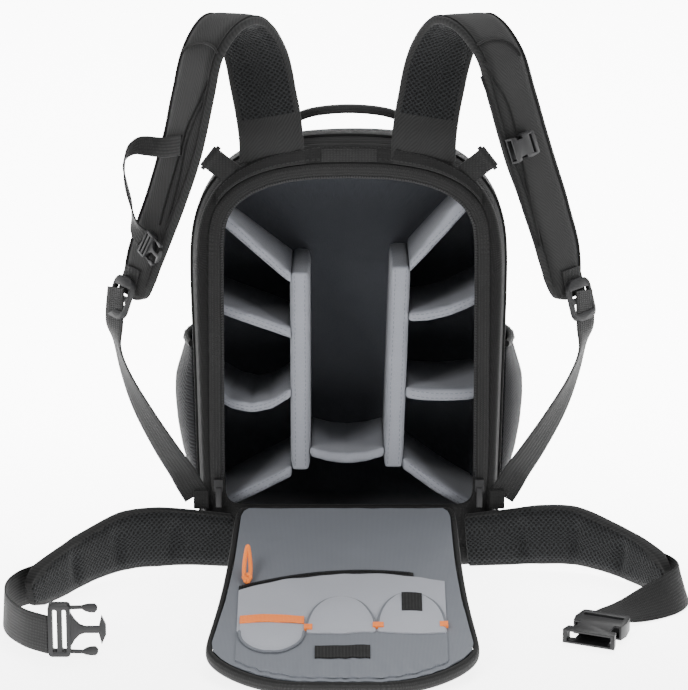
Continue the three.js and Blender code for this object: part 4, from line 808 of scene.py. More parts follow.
STRAP_SIDES = {"left": {"side": -1, "root": 1, "twist": 1.04},
               "right": {"side": 1, "root": 0.96, "twist": 0.88}}
BORDER = 6


def strap_stations(name):
    """Stations of a strap: middle and width direction in the pack, width and thickness in millimetres."""
    side, root, twist = (STRAP_SIDES[name][key] for key in ("side", "root", "twist"))
    seat = RIM_FRONT - GAP - STRAP_THICK / 2
    stations = []
    for row in STRAP_ROWS:
        turn = math.radians(row["turn"] * twist)
        wide = Vector((math.cos(turn), side * math.sin(turn), 0))
        at = Vector((side * (STRAP_ROOT * root + STRAP_SPREAD * row[name]), seat - STRAP_LOOP * row["loop"],
                     BODY_HEIGHT * row["up"]))
        at -= wide * side * row["across"] * STRAP_WIDTH
        stations.append({"at": at, "wide": wide, "width": STRAP_WIDTH * row["wide"], "thick": STRAP_THICK})
    return stations


def smooth_stations(chosen, steps):
    """Stations between chosen ones, on a smooth line, steps to each gap."""
    places = curve_through([s["at"] for s in chosen], steps)
    ways = curve_through([s["wide"] for s in chosen], steps)
    made = []
    for i, (at, wide) in enumerate(zip(places, ways)):
        k = min(i // steps, len(chosen) - 2)
        t = i / steps - k
        made.append({"at": at, "wide": wide.normalized(),
                     "width": mix(chosen[k]["width"], chosen[k + 1]["width"], t),
                     "thick": mix(chosen[k]["thick"], chosen[k + 1]["thick"], t)})
    return made


def band(stations, section, to_row, shape=None):
    """Band along stations, its section in halves of width and thickness; returns its bmesh."""
    rings, rest, along = [], [], 0
    for i, s in enumerate(stations):
        before, after = stations[max(i - 1, 0)]["at"], stations[min(i + 1, len(stations) - 1)]["at"]
        way = (after - before).normalized()
        face = s["wide"].cross(way).normalized()
        wide = way.cross(face).normalized()
        if i:
            along += (s["at"] - stations[i - 1]["at"]).length
        ring, flat = [], []
        for w, t in section:
            lift = t * s["thick"] / 2
            if shape is not None:
                lift += shape(w * s["width"] / 2, s["width"], t, along)
            ring.append(to_row(s["at"] + wide * w * s["width"] / 2 + face * lift))
            flat.append((w * s["width"] / 2 * MM, along * MM, lift * MM))
        rings.append(ring)
        rest.append(flat)
    return loft(rings, rest)


def blunt(v):
    return math.copysign(abs(v) ** 0.5, v)


def in_pack_vector(p):
    return in_pack(p.x, p.y, p.z)


PAD_SECTION = [(blunt(math.cos(a)), blunt(math.sin(a)))
               for a in ((k + 0.5) / 36 * math.tau for k in range(36))]
FLAT_SECTION = [(1, 0.5), (0.96, 1), (0.5, 1), (0, 1), (-0.5, 1), (-0.96, 1),
                (-1, 0.5), (-1, -0.5), (-0.96, -1), (-0.5, -1), (0, -1), (0.5, -1), (0.96, -1), (1, -0.5)]
# Knitted spacer mesh: dark yarn with open cells 3.4 mm apart, deepest black in the holes.
spacer_mesh = cloth("black_spacer_mesh", "#151617", "#030303", 3.4, 0.7, "mesh", rough=0.9)
# Fine diagonal twill, drawn at 2 mm.
strap_twill = cloth("charcoal_twill", "#1d1d1d", "#131313", 2.6, 0.1, "twill")


def strap_shape(across, width, t, along):
    """Sewn border: the cloth dips along the seam round the mesh and swells inside it."""
    reach = (width / 2 - BORDER - abs(across)) / 2.2
    dip = -1.1 * math.exp(-reach * reach)
    swell = 0.5 if reach > 1 else 0
    crease = -0.8 * sum(math.exp(-((along - place) / 3) ** 2) for place in (128, 142, 158))
    return (dip + swell + (crease if t > 0 else 0)) * (1 if t > 0 else -1) * min(abs(t) * 1.3, 1)


# Pipings on the fronts of the straps, along the rails of the sternum webbing, and the curved edge
# of the cover sewn over each shoulder.
STRAP_PIPINGS = {
    "left": [
        [(208, 80), (198, 104), (187, 128), (178, 160), (168, 195), (160, 225)],
        [(204, 100), (193, 124), (186, 145), (180, 175), (172, 205), (164, 232)],
        [(183, 52), (190, 46), (202, 43), (213, 47), (218, 54)],
    ],
    "right": [
        [(484, 62), (496, 82), (508, 104), (516, 132), (524, 170), (532, 208), (540, 246)],
        [(482, 76), (492, 104), (500, 132), (512, 170), (524, 208), (538, 248)],
        [(476, 46), (488, 40), (502, 40), (514, 47), (520, 56)],
    ],
}
for strap_name in ("left", "right"):
    stations = smooth_stations(strap_stations(strap_name), 8)
    for i, station in enumerate(stations):
        foot = min(i / 9, 1)
        tip = min((len(stations) - 1 - i) / 6, 1)
        station["thick"] *= mix(0.3, 1, foot * foot * (3 - 2 * foot)) * mix(0.55, 1, tip ** 0.5)
        if i < 9:
            station["at"] += Vector((0, (STRAP_THICK - station["thick"]) / 2, 0))
        if i >= len(stations) - 5:
            station["width"] *= math.sin((len(stations) - i) / 6 * math.pi / 2) ** 0.5
    bm = band(stations, PAD_SECTION, in_pack_vector, strap_shape)
    flat = bm.verts.layers.float_vector["rest"]
    for face in bm.faces:
        places = [v[flat] for v in face.verts]
        across = sum(p.x for p in places) / len(places)
        along = sum(p.y for p in places) / len(places)
        lift = sum(p.z for p in places) / len(places)
        if lift > 0 and abs(across) < (STRAP_WIDTH / 2 - BORDER) * MM and along > 0.048:
            face.material_index = 1
    strap = finished("padded_strap_" + strap_name, bm, [strap_twill, spacer_mesh],
                     ["shoulder_strap_" + strap_name], levels=1)
    drape(strap, lambda co: 0.5 * noise.noise(co * 35))
    strap_tree = surface_of(strap)
    mesh_seam, edge_seam = [], []
    for way in (-1, 1):
        for face_side, inset, kept in ((1, BORDER - 1.5, mesh_seam), (-1, 4.5, edge_seam)):
            path = []
            for i, station in enumerate(stations[10 if face_side > 0 else 4:-6]):
                following = stations[min(stations.index(station) + 1, len(stations) - 1)]["at"]
                along_way = (following - station["at"]).normalized()
                off = station["wide"].cross(along_way).normalized() * face_side * STRAP_THICK * 0.8
                aside = station["wide"] * way * (station["width"] / 2 - inset)
                path.append(in_pack_vector(station["at"] + off + aside))
            kept.append(laid(strap_tree, path, 0.0045))
    finished("strap_edge_cords_" + strap_name, together([cord_line(seam, 0.0011) for seam in edge_seam]),
             [piping_cord])
    raised = []
    for pixels in STRAP_PIPINGS[strap_name]:
        drawn = curve_through(seen_on(strap_tree, pixels), 8)
        raised.append(cord_line(laid(strap_tree, drawn, 0.004), 0.0014))
    finished("strap_front_piping_" + strap_name, together(raised), [piping_cord])
    finished("strap_stitches_" + strap_name, together([stitch_line(seam, thick=0.4) for seam in mesh_seam]),
             [webbing_thread])

# Webbing of the harness: flat nylon tape, 25 mm wide, from the sliders at the straps' ends to the
# foot of the body, where it is sewn under a cloth tab.
WEB_WIDTH, WEB_THICK = 25, 1.8
LOCK_LENGTH, LOCK_THICK = 40, 5
LAST_FULL_ROW = len(STRAP_ROWS) - 3
LOCK_ACROSS, LOCK_DROP = 0.05, 0.118
LOCK_OFF = STRAP_THICK / 2 + WEB_THICK + 4 * GAP + LOCK_THICK / 2
LOWER_WEB_ROWS = [
    {"down": -0.15, "across": 0.02, "deep": 0.03, "turn": 50},
    {"down": 0.02, "across": 0, "deep": 0, "turn": 46},
    {"down": 0.14, "across": 0.03, "deep": 0.05, "turn": 74},
    {"down": 0.3, "across": 0.14, "deep": 0.17, "turn": 66},
    {"down": 0.5, "across": 0.34, "deep": 0.38, "turn": 42},
    {"down": 0.72, "across": 0.61, "deep": 0.7, "turn": 20},
    {"down": 0.86, "across": 0.8, "deep": 0.94, "turn": 4},
    {"down": 0.93, "across": 0.89, "deep": 1, "turn": 0},
    {"down": 1, "across": 1, "deep": 1, "turn": 0},
]


def strap_frame(name, index):
    """Middle of a strap at a row, and the directions outwards, off its outer face, and down along it."""
    stations = strap_stations(name)
    side = STRAP_SIDES[name]["side"]
    down = (stations[index + 1]["at"] - stations[index - 1]["at"]).normalized()
    face = (down.cross(stations[index]["wide"]) * side).normalized()
    if face.y > 0:
        face.negate()
    out = face.cross(down) * side
    if out.x * side < 0:
        out.negate()
    return stations[index]["at"], out, face, down


def lock_place(name):
    at, out, face, down = strap_frame(name, LAST_FULL_ROW)
    return at + out * LOCK_ACROSS * STRAP_WIDTH + face * LOCK_OFF + down * LOCK_DROP * BODY_HEIGHT


for strap_name in ("left", "right"):
    side = STRAP_SIDES[strap_name]["side"]
    start = lock_place(strap_name) + strap_frame(strap_name, LAST_FULL_ROW)[3] * (LOCK_LENGTH / 2 + GAP)
    end = Vector((side * (OPENING["half"] + ZIP_BAND_WIDTH + 2 * GAP + WEB_WIDTH / 2),
                  RIM_FRONT - 2 * GAP - WEB_THICK / 2, 0.168 * BODY_HEIGHT))
    chosen = []
    for row in LOWER_WEB_ROWS:
        turn = math.radians(row["turn"])
        chosen.append({
            "at": Vector((mix(start.x, end.x, row["across"]), mix(start.y, end.y, row["deep"]),
                          mix(start.z, end.z, row["down"]))),
            "wide": Vector((math.cos(turn), side * math.sin(turn), side * -0.35 * row["down"])).normalized(),
            "width": WEB_WIDTH, "thick": WEB_THICK})
    finished("lower_web_" + strap_name, band(smooth_stations(chosen, 6), FLAT_SECTION, in_pack_vector),
             [webbing_black], ["lower_webbing_" + strap_name])
    softened("slider_lock_" + strap_name, ["ladder_lock_" + strap_name], [moulded_black],
             1.2)
    softened("slider_tab_" + strap_name, ["lock_tab_" + strap_name], [webbing_black], 0.4)
    softened("sewn_anchor_" + strap_name, ["webbing_anchor_" + strap_name], [outer_nylon], 1.0)

# Sternum webbing and its small side-release buckle, parted: the prong half hangs on the left strap
# and the sleeve half sits on the right.
STERNUM_WIDTH, STERNUM_ROW = 19, 8
STERNUM_ROWS = [
    {"out": -0.14, "off": 0.012, "down": -0.08, "wide": (0, 0, 1)},
    {"out": 0.2, "off": 0.02, "down": 0.04, "wide": (0, 0, 1)},
    {"out": 0.44, "off": 0.05, "down": 0.1, "wide": (0, 0, 1)},
    {"out": 0.53, "off": 0.15, "down": 0.12, "wide": (0, -0.2, 1)},
    {"out": 0.58, "off": 0.3, "down": 0.16, "wide": (0.3, -0.2, 0.9)},
    {"out": 0.56, "off": 0.45, "down": 0.28, "wide": (0.5, -0.4, 0.7)},
    {"out": 0.46, "off": 0.52, "down": 0.46, "wide": (0.7, -0.5, 0.3)},
    {"out": 0.34, "off": 0.48, "down": 0.72, "wide": (0.78, -0.6, 0)},
    {"out": 0.25, "off": 0.37, "down": 0.98, "wide": (0.8, -0.6, 0)},
    {"out": 0.19, "off": 0.28, "down": 1.2, "wide": (0.85, -0.4, 0.1)},
    {"out": 0.14, "off": 0.18, "down": 1.38, "wide": (0.6, -0.1, 0.8)},
    {"out": 0.04, "off": 0.13, "down": 1.46, "wide": (0.3, 0, 0.95)},
]
strap_at, strap_out, strap_face, strap_down = strap_frame("left", STERNUM_ROW)
seat = STRAP_THICK / 2 + GAP + WEB_THICK / 2
chosen = [{
    "at": strap_at + strap_out * row["out"] * STRAP_WIDTH + strap_face * (seat + row["off"] * STRAP_WIDTH)
    + strap_down * row["down"] * STRAP_WIDTH,
    "wide": (strap_out * row["wide"][0] + strap_face * row["wide"][1]
             + strap_down * row["wide"][2]).normalized(),
    "width": STERNUM_WIDTH, "thick": WEB_THICK} for row in STERNUM_ROWS]
finished("sternum_web", band(smooth_stations(chosen, 6), FLAT_SECTION, in_pack_vector), [webbing_black],
         ["sternum_webbing"])
softened("sternum_prongs", ["sternum_buckle_male"], [moulded_black], 0.5)
softened("sternum_sleeve", ["sternum_buckle_female"], [moulded_black], 0.6)

# Mesh pockets on the sides: dark stretch knit gathered into an elastic hem at the mouth.
POCKET_FOOT, POCKET_TOP, POCKET_BULGE, POCKET_CLOTH = 60, 216, 20, 2
POCKET_ROWS = [
    {"up": 0, "bulge": 0.02}, {"up": 0.1, "bulge": 0.3}, {"up": 0.28, "bulge": 0.72},
    {"up": 0.45, "bulge": 0.92}, {"up": 0.62, "bulge": 1}, {"up": 0.76, "bulge": 0.93},
    {"up": 0.9, "bulge": 0.55}, {"up": 1, "bulge": 0.3},
]
POCKET_STEPS = 18


def side_at(points, h):
    """Half width of an outline at a height, on its straight edges."""
    right = points[2:17]
    for a, b in zip(right, right[1:]):
        if b[1] > h:
            return mix(a[0], b[0], (h - a[1]) / (b[1] - a[1])) if b[1] > a[1] else b[0]
    return right[-1][0]


# Stretch knit, dark blue-black, cells 2.6 mm apart.
pocket_knit = cloth("pocket_stretch_knit", "#0e0f12", "#040405", 2.6, 0.4, "mesh", rough=0.85)
for side_name, side in (("left", -1), ("right", 1)):
    outer, inner, hem = [], [], []
    for k in range(21):
        up = k / 20
        h = mix(POCKET_FOOT, POCKET_TOP, up)
        bulge = table_value(POCKET_ROWS, "up", "bulge", up)
        for extra, grid in ((POCKET_CLOTH, outer), (0.3, inner)):
            line = []
            for i in range(POCKET_STEPS + 1):
                t = i / POCKET_STEPS
                d = mix(0.14, 0.72, t) * BODY_DEPTH
                ripple = 0.9 * math.sin(i * 2.4) * up ** 3
                swell = POCKET_BULGE * bulge * math.sin(math.pi * t) ** 0.6 + ripple * math.sin(math.pi * t)
                x = side_at(body_outline(d, 0), h) + GAP + swell + extra
                line.append(in_pack(side * x, d, h))
            grid.append(line)
        hem = outer[-1]
    rings = [a + list(reversed(b)) for a, b in zip(outer, inner)]
    finished("mesh_pocket_" + side_name, loft(rings), [pocket_knit],
             ["side_pocket_" + side_name], levels=1)
    hem_line = [(p, Vector((side, 0, 0))) for p in hem]
    finished("pocket_hem_" + side_name, cord_line(hem_line, 0.0032, sides=10, lift=0),
             [webbing_black])

# Padded belt wings: spacer mesh over foam, pinched by sewn channels, with a cloth edge.
BELT_HEIGHT, BELT_THICK, BELT_REACH, BELT_FORWARD, BELT_ROOT = 61, 16, 188, 100, 114
BELT_ROWS = [
    {"reach": 0, "left": 0, "right": 0, "rise": 0.07, "tall": 0.84},
    {"reach": 0.2, "left": 0.02, "right": 0.02, "rise": 0.1, "tall": 0.9},
    {"reach": 0.38, "left": 0.09, "right": 0.03, "rise": 0.12, "tall": 0.97},
    {"reach": 0.55, "left": 0.22, "right": 0.08, "rise": 0.14, "tall": 0.96},
    {"reach": 0.72, "left": 0.48, "right": 0.24, "rise": 0.12, "tall": 0.84},
    {"reach": 0.86, "left": 0.8, "right": 0.45, "rise": 0.07, "tall": 0.78},
    {"reach": 0.96, "left": 1.05, "right": 0.68, "rise": 0.06, "tall": 0.68},
    {"reach": 1, "left": 1.19, "right": 0.8, "rise": 0.14, "tall": 0.4},
]
CHANNELS = (0.25, 0.5, 0.74)
BELT_BACK = (in_pack(0, RIM_FRONT - GAP, BELT_HEIGHT / 2).y / MM) - BELT_THICK / 2


def on_ground(p):
    """Row-frame place, in metres, of one in millimetres."""
    return Vector(p) * MM


for side_name, side in (("left", -1), ("right", 1)):
    chosen = [{
        "at": Vector((side * (BELT_ROOT + BELT_REACH * row["reach"]),
                      BELT_BACK - BELT_FORWARD * row[side_name],
                      BELT_HEIGHT * (row["rise"] + row["tall"] / 2))),
        "wide": Vector((0, math.sin(LEAN) * (1 - row["reach"]), 1)),
        "width": BELT_HEIGHT * row["tall"],
        "thick": BELT_THICK * (0.6 if row["reach"] == 1 else 1)} for row in BELT_ROWS]
    stations = smooth_stations(chosen, 10)
    last = len(stations) - 1

    def wing_shape(across, width, t, along):
        """Border seam all round, and three dimples where the channels pinch the middle of the pad."""
        reach = (width / 2 - 4 - abs(across)) / 1.8
        dip = -0.9 * math.exp(-reach * reach)
        middle = math.exp(-(across / 15) ** 2)
        share = along / wing_long
        pinch = -6.5 * middle * sum(math.exp(-((share - c) / 0.026) ** 2) for c in CHANNELS)
        return (dip + pinch) * (1 if t > 0 else -1) * min(abs(t) * 1.4, 1)

    wing_long = sum((b["at"] - a["at"]).length for a, b in zip(stations, stations[1:]))
    bm = band(stations, PAD_SECTION, on_ground, wing_shape)
    flat = bm.verts.layers.float_vector["rest"]
    for face in bm.faces:
        widest = max(abs(v[flat].x) for v in face.verts)
        k = min(int(sum(v[flat].y for v in face.verts) / len(face.verts) / (wing_long * MM) * last), last)
        if widest < stations[k]["width"] / 2 * MM - 0.0015:
            face.material_index = 1
    wing = finished("belt_pad_" + side_name, bm, [strap_twill, spacer_mesh],
                    ["belt_wing_" + side_name], levels=1)
    drape(wing, lambda co: 0.6 * noise.noise(co * 28))

# Belt webbing, 38 mm wide, and the two halves of its side-release buckle.
BELT_WEB_WIDTH, BUCKLE_THICK = 38, 10
BELT_WEB_ROWS = {
    "left": [
        {"reach": 0.828, "forward": 0.569, "tip": 0}, {"reach": 0.903, "forward": 0.744, "tip": 0},
        {"reach": 0.99, "forward": 0.91, "tip": 0}, {"reach": 1.07, "forward": 1.08, "tip": 3},
        {"reach": 1.115, "forward": 1.35, "tip": 4}, {"reach": 1.09, "forward": 1.7, "tip": 2},
        {"reach": 0.99, "forward": 2.0, "tip": 0}, {"reach": 0.87, "forward": 2.17, "tip": 0},
    ],
    "right": [
        {"reach": 0.83, "forward": 0.268, "tip": 0}, {"reach": 0.9, "forward": 0.372, "tip": 0},
        {"reach": 0.985, "forward": 0.54, "tip": -3}, {"reach": 1.055, "forward": 0.7, "tip": -8},
        {"reach": 1.085, "forward": 0.88, "tip": -18}, {"reach": 1.02, "forward": 1.08, "tip": -36},
        {"reach": 0.9, "forward": 1.2, "tip": -58}, {"reach": 0.785, "forward": 1.28, "tip": -80},
        {"reach": 0.715, "forward": 1.36, "tip": -90}, {"reach": 0.685, "forward": 1.48, "tip": -90},
    ],
}
for side_name, side in (("left", -1), ("right", 1)):
    rows = BELT_WEB_ROWS[side_name]
    places = [Vector((side * (BELT_ROOT + BELT_REACH * r["reach"]),
                      BELT_BACK - BELT_FORWARD * r["forward"], 0))
              for r in rows]
    chosen = []
    for i, row in enumerate(rows):
        way = (places[min(i + 1, len(rows) - 1)] - places[max(i - 1, 0)]).normalized()
        tip = math.radians(row["tip"])
        wide = Vector((0, 0, math.cos(tip))) + Vector((-way.y, way.x, 0)) * math.sin(tip)
        z = max(math.cos(tip) * BELT_WEB_WIDTH / 2 + 1.5, BUCKLE_THICK / 2 + 1.5)
        chosen.append({"at": places[i] + Vector((0, 0, z)), "wide": wide,
                       "width": BELT_WEB_WIDTH, "thick": WEB_THICK})
    finished("belt_web_" + side_name, band(smooth_stations(chosen, 6), FLAT_SECTION, on_ground),
             [webbing_black], ["belt_webbing_" + side_name])
softened("belt_prongs", ["belt_buckle_male"], [moulded_black], 1.0)
softened("belt_sleeve", ["belt_buckle_female"], [moulded_black], 1.2)

# Back flap, open and laid forward: a foam panel bound with tape, lined with blue-grey cloth. A
# curved zip crosses it, and the card panel below carries three domed pockets and two bare labels.
FLAP_LENGTH, FLAP_HALF_WIDTH, FLAP_THICK = 330, 126, 10
BINDING_WIDTH, BINDING_THICK, FLAP_DRIFT, SHEET, FLAP_ZIP_WIDTH = 6, 13, 4, 1, 8
hinge = in_pack(0, RIM_FRONT - GAP, OPENING["foot"] - FLAP_THICK / 2) / MM
FLAP_FALL = math.asin((hinge.z - BINDING_THICK / 2 - GAP) / FLAP_LENGTH)
HINGE_SET = BINDING_THICK / 2 * (math.sin(FLAP_FALL) + math.cos(FLAP_FALL) * math.tan(LEAN)) + GAP
FLAP_ROWS = [
    {"along": 0, "half": 0.8}, {"along": 0.012, "half": 0.835}, {"along": 0.045, "half": 0.857},
    {"along": 0.33, "half": 0.88}, {"along": 0.55, "half": 0.923}, {"along": 0.7, "half": 0.97},
    {"along": 0.79, "half": 1}, {"along": 0.835, "half": 0.985}, {"along": 0.88, "half": 0.92},
    {"along": 0.925, "half": 0.81}, {"along": 0.965, "half": 0.66}, {"along": 0.99, "half": 0.5},
    {"along": 1, "half": 0.36},
]


def on_flap(x, s, lift):
    """Row-frame place on the flap: across, along from the hinge, and off its middle."""
    y = hinge.y - s * math.cos(FLAP_FALL) - lift * math.sin(FLAP_FALL)
    return Vector((x, y, hinge.z - s * math.sin(FLAP_FALL) + lift * math.cos(FLAP_FALL))) * MM


def flap_middle(s):
    return -FLAP_DRIFT * (0.75 + s / FLAP_LENGTH)


def flap_row(row, inset):
    """Distance from the hinge, half width and middle of a row of the flap's shape, drawn in by an inset."""
    s = mix(HINGE_SET + inset, FLAP_LENGTH - inset, row["along"])
    return s, row["half"] * FLAP_HALF_WIDTH - inset, flap_middle(s)


def flap_edge(inset):
    rows = [flap_row(row, inset) for row in FLAP_ROWS]
    return [(m + h, s) for s, h, m in rows] + [(m - h, s) for s, h, m in reversed(rows)]


def flap_half_at(s, inset):
    """Half width of the flap at a distance from the hinge."""
    rows = [dict(zip(("s", "half"), flap_row(row, inset)[:2])) for row in FLAP_ROWS]
    return table_value(rows, "s", "half", s)


def slab(columns, rows, top, bottom, name, material, nodes=(), levels=1):
    """Sheet or pad on the flap. top and bottom give its two faces for shares across and along."""
    rings, rest = [], []
    for i in range(rows + 1):
        high = [top(j / columns, i / rows) for j in range(columns + 1)]
        low = [bottom(j / columns, i / rows) for j in range(columns + 1)]
        rings.append([on_flap(*p) for p in high] + [on_flap(*p) for p in reversed(low)])
        rest.append([(p[0] * MM, p[1] * MM, 0) for p in high + low[::-1]])
    return finished(name, loft(rings, rest), [material], nodes, levels=levels)


def flap_face(inset, lift, wrinkle):
    """Face of the flap: lift over shares across and along, with wrinkles."""
    def place(u, v):
        s = mix(HINGE_SET + inset, FLAP_LENGTH - inset, 1 - (1 - v) ** 1.35)
        half = flap_half_at(s, inset)
        x = flap_middle(s) + mix(-half, half, u)
        return x, s, lift(u, v) + wrinkle(x, s)
    return place


def no_wrinkle(x, s):
    return 0


def rounded(u, v):
    """From 0 at the edges to 1 a little inside them."""
    return min(min(u, 1 - u) / 0.06, 1) ** 0.5 * min(min(v, 1 - v) / 0.05, 1) ** 0.5


slab(24, 30,
     flap_face(BINDING_WIDTH + GAP, lambda u, v: FLAP_THICK / 2 * mix(0.7, 1, rounded(u, v)), no_wrinkle),
     flap_face(BINDING_WIDTH + GAP, lambda u, v: -FLAP_THICK / 2 * mix(0.7, 1, rounded(u, v)), no_wrinkle),
     "flap_foam_panel", spacer_mesh, ["flap_pad"])

binding_rings, binding_rest, along = [], [], 0
outer_edge, inner_edge = flap_edge(0), flap_edge(BINDING_WIDTH)
BINDING_SECTION = [(0, 0), (0.06, 0.55), (0.28, 0.92), (0.6, 1), (1, 0.84), (1, 0.3),
                   (1, -0.3), (1, -0.84), (0.6, -1), (0.28, -0.92), (0.06, -0.55)]
for i, (out_place, in_place) in enumerate(zip(outer_edge, inner_edge)):
    if i:
        along += math.dist(out_place, outer_edge[i - 1])
    binding_rings.append([on_flap(mix(out_place[0], in_place[0], w), mix(out_place[1], in_place[1], w),
                                  t * BINDING_THICK / 2) for w, t in BINDING_SECTION])
    binding_rest.append([((w + t) * 5 * MM, along * MM, 0) for w, t in BINDING_SECTION])
finished("flap_bound_edge", loft(binding_rings, binding_rest, loop=True), [webbing_black],
         ["flap_binding"], levels=2)


def lining_wrinkle(x, s):
    """Soft ripples over the lining, tighter gathers near its free end."""
    ease = min((s - 20) / 60, 1)
    place = Vector((x, s, 0))
    gather = math.exp(-((s - 308) / 20) ** 2) * math.sin(x * 0.42 + 3 * noise.noise(place * 0.04)) * 0.9
    fold = 0.9 * noise.noise(Vector((x * 0.05, s * 0.016, 4)))
    return max(ease, 0) * (1.2 * noise.noise(place * 0.02) + fold) + 0.5 * noise.noise(place * 0.06) + gather


# Smooth polyester lining, blue-grey, thread 0.3 mm, drawn at 1.2 mm.
flap_cloth = cloth("blue_grey_lining", "#6b6f75", "#5b5e64", 1.2, 0.08, "plain",
                   rough=0.7, fuzz=0.1, blotch=0.35)
LINING_INSET = BINDING_WIDTH + 2 * GAP
LINING_LOW = FLAP_THICK / 2 + GAP
flap_liner = slab(
    60, 80, flap_face(LINING_INSET, lambda u, v: LINING_LOW + SHEET + 0.6 * rounded(u, v), lining_wrinkle),
    flap_face(LINING_INSET, lambda u, v: LINING_LOW, no_wrinkle),
    "flap_lining_sheet", flap_cloth, ["flap_lining"], levels=0)
lining_rows = [flap_row(row, LINING_INSET) for row in FLAP_ROWS]
lining_area = sum((a[1] + b[1]) * (b[0] - a[0]) for a, b in zip(lining_rows, lining_rows[1:])) * MM * MM

ZIP_FROM, ZIP_TO = -0.82 * FLAP_HALF_WIDTH, 0.48 * FLAP_HALF_WIDTH


def zip_line(x):
    share = (x - 0.1 * FLAP_HALF_WIDTH) / (0.92 * FLAP_HALF_WIDTH)
    return FLAP_LENGTH * (0.405 + 0.092 * share * share)


def flap_end_at(x, inset):
    """Distance from the hinge at which the flap, less an inset, ends at a place across."""
    rows = [flap_row(row, inset) for row in FLAP_ROWS][::-1]
    k = next((i for i, (s, half, m) in enumerate(rows) if half >= abs(x - m)), 0)
    if k == 0:
        return rows[0][0]
    (s0, half0, _), (s1, half1, middle) = rows[k - 1], rows[k]
    return mix(s0, s1, (abs(x - middle) - half0) / (half1 - half0))


def strip(x_from, x_to, near, far, low, lift):
    """Faces of a sheet between two edges that depend on the place across; lift swells its top face."""
    def top(u, v):
        x = mix(x_from, x_to, u)
        s = mix(near(x), far(x), v)
        return x, s, low + SHEET + lift(u, v, x, s)

    def bottom(u, v):
        x = mix(x_from, x_to, u)
        return x, mix(near(x), far(x), v), low
    return top, bottom


def cut_to(x_from, x_to, near, far):
    """Works out the flat size of a sheet on the flap from the two edges it is cut along; the sizes are not
    kept.
    """
    places = [mix(x_from, x_to, (k + 0.5) / 60) for k in range(60)]
    tall = [far(x) - near(x) for x in places]
    low, high = min(near(x) for x in places), max(far(x) for x in places)


# Light grey brushed cloth of the card panel and its pockets.
pocket_cloth = cloth("light_grey_brushed_cloth", "#96989e", "#84868d", 1.3, 0.12, "brushed",
                     rough=0.88, fuzz=0.1)
orange_cloth = cloth("orange_ribbon", "#f5893e", "#dd6f28", 1.2, 0.2, "plain", rough=0.75, fuzz=0.1)
LEVEL = [LINING_LOW + k * (SHEET + GAP) for k in range(5)]


def panel_swell(x, s):
    """Soft ripples of the card panel; what is sewn onto it follows them."""
    return 0.8 + lining_wrinkle(x, s) * 1.1 + 0.5 * noise.noise(Vector((x, s, 3)) * 0.03)


panel_top, panel_bottom = strip(
    ZIP_FROM, 0.71 * FLAP_HALF_WIDTH, lambda x: zip_line(x) + FLAP_ZIP_WIDTH / 2 + GAP,
    lambda x: flap_end_at(x, LINING_INSET + 4), LEVEL[1],
    lambda u, v, x, s: panel_swell(x, s))
card_sheet = slab(60, 40, panel_top, panel_bottom, "card_panel_sheet", pocket_cloth,
                  ["card_panel"], levels=0)
cut_to(ZIP_FROM, 0.71 * FLAP_HALF_WIDTH, lambda x: zip_line(x) + FLAP_ZIP_WIDTH / 2 + GAP,
       lambda x: flap_end_at(x, LINING_INSET + 4))
# The panel is sewn of two cloths: light brushed cloth behind the pockets, the lining's cloth below them.
CLOTH_SEAM = 0.735
card_sheet.data.materials.append(flap_cloth)
card_flat = card_sheet.data.attributes["rest"].data
for face in card_sheet.data.polygons:
    middle_along = sum(card_flat[v].vector[1] for v in face.vertices) / len(face.vertices)
    if middle_along > CLOTH_SEAM * FLAP_LENGTH * MM:
        face.material_index = 1
zip_top, zip_bottom = strip(ZIP_FROM, ZIP_TO, lambda x: zip_line(x) - FLAP_ZIP_WIDTH / 2,
                            lambda x: zip_line(x) + FLAP_ZIP_WIDTH / 2, LEVEL[1],
                            lambda u, v, x, s: 1.0 - 0.8 * abs(2 * v - 1) ** 4)
flap_tape = slab(40, 6, zip_top, zip_bottom, "flap_zip_tape", webbing_black,
                 ["flap_zip"], levels=0)
tape_tree = surface_of(flap_tape)
teeth_places = [mix(ZIP_FROM + 2, ZIP_TO - 2, k / 60) for k in range(61)]
teeth_path = [on_flap(x, zip_line(x), 12) for x in teeth_places]
finished("flap_zip_teeth", zip_teeth(laid(tape_tree, teeth_path, TOOTH_PITCH), 3.4, 1.2), [moulded_black],
         sharp=30)

CARD_POCKETS = [
    {"name": "card_pocket_left", "from": -0.8, "to": -0.33,
     "top": 0.66, "dome": -0.01, "foot": 0.74, "bulge": 0.11},
    {"name": "card_pocket_middle", "from": -0.31, "to": 0.19,
     "top": 0.72, "dome": 0.16, "foot": 0.742, "bulge": 0.004},
    {"name": "card_pocket_right", "from": 0.21, "to": 0.7,
     "top": 0.7, "dome": 0.165, "foot": 0.742, "bulge": 0.004},
]


def pocket_edges(row):
    """Ends and the two edges of a card pocket."""
    start, stop = row["from"] * FLAP_HALF_WIDTH, row["to"] * FLAP_HALF_WIDTH

    def round_at(x):
        return math.sqrt(max(0, 1 - (2 * (x - start) / (stop - start) - 1) ** 2))
    return (start, stop, lambda x: FLAP_LENGTH * (row["top"] - row["dome"] * round_at(x)),
            lambda x: FLAP_LENGTH * (row["foot"] + row["bulge"] * round_at(x)))


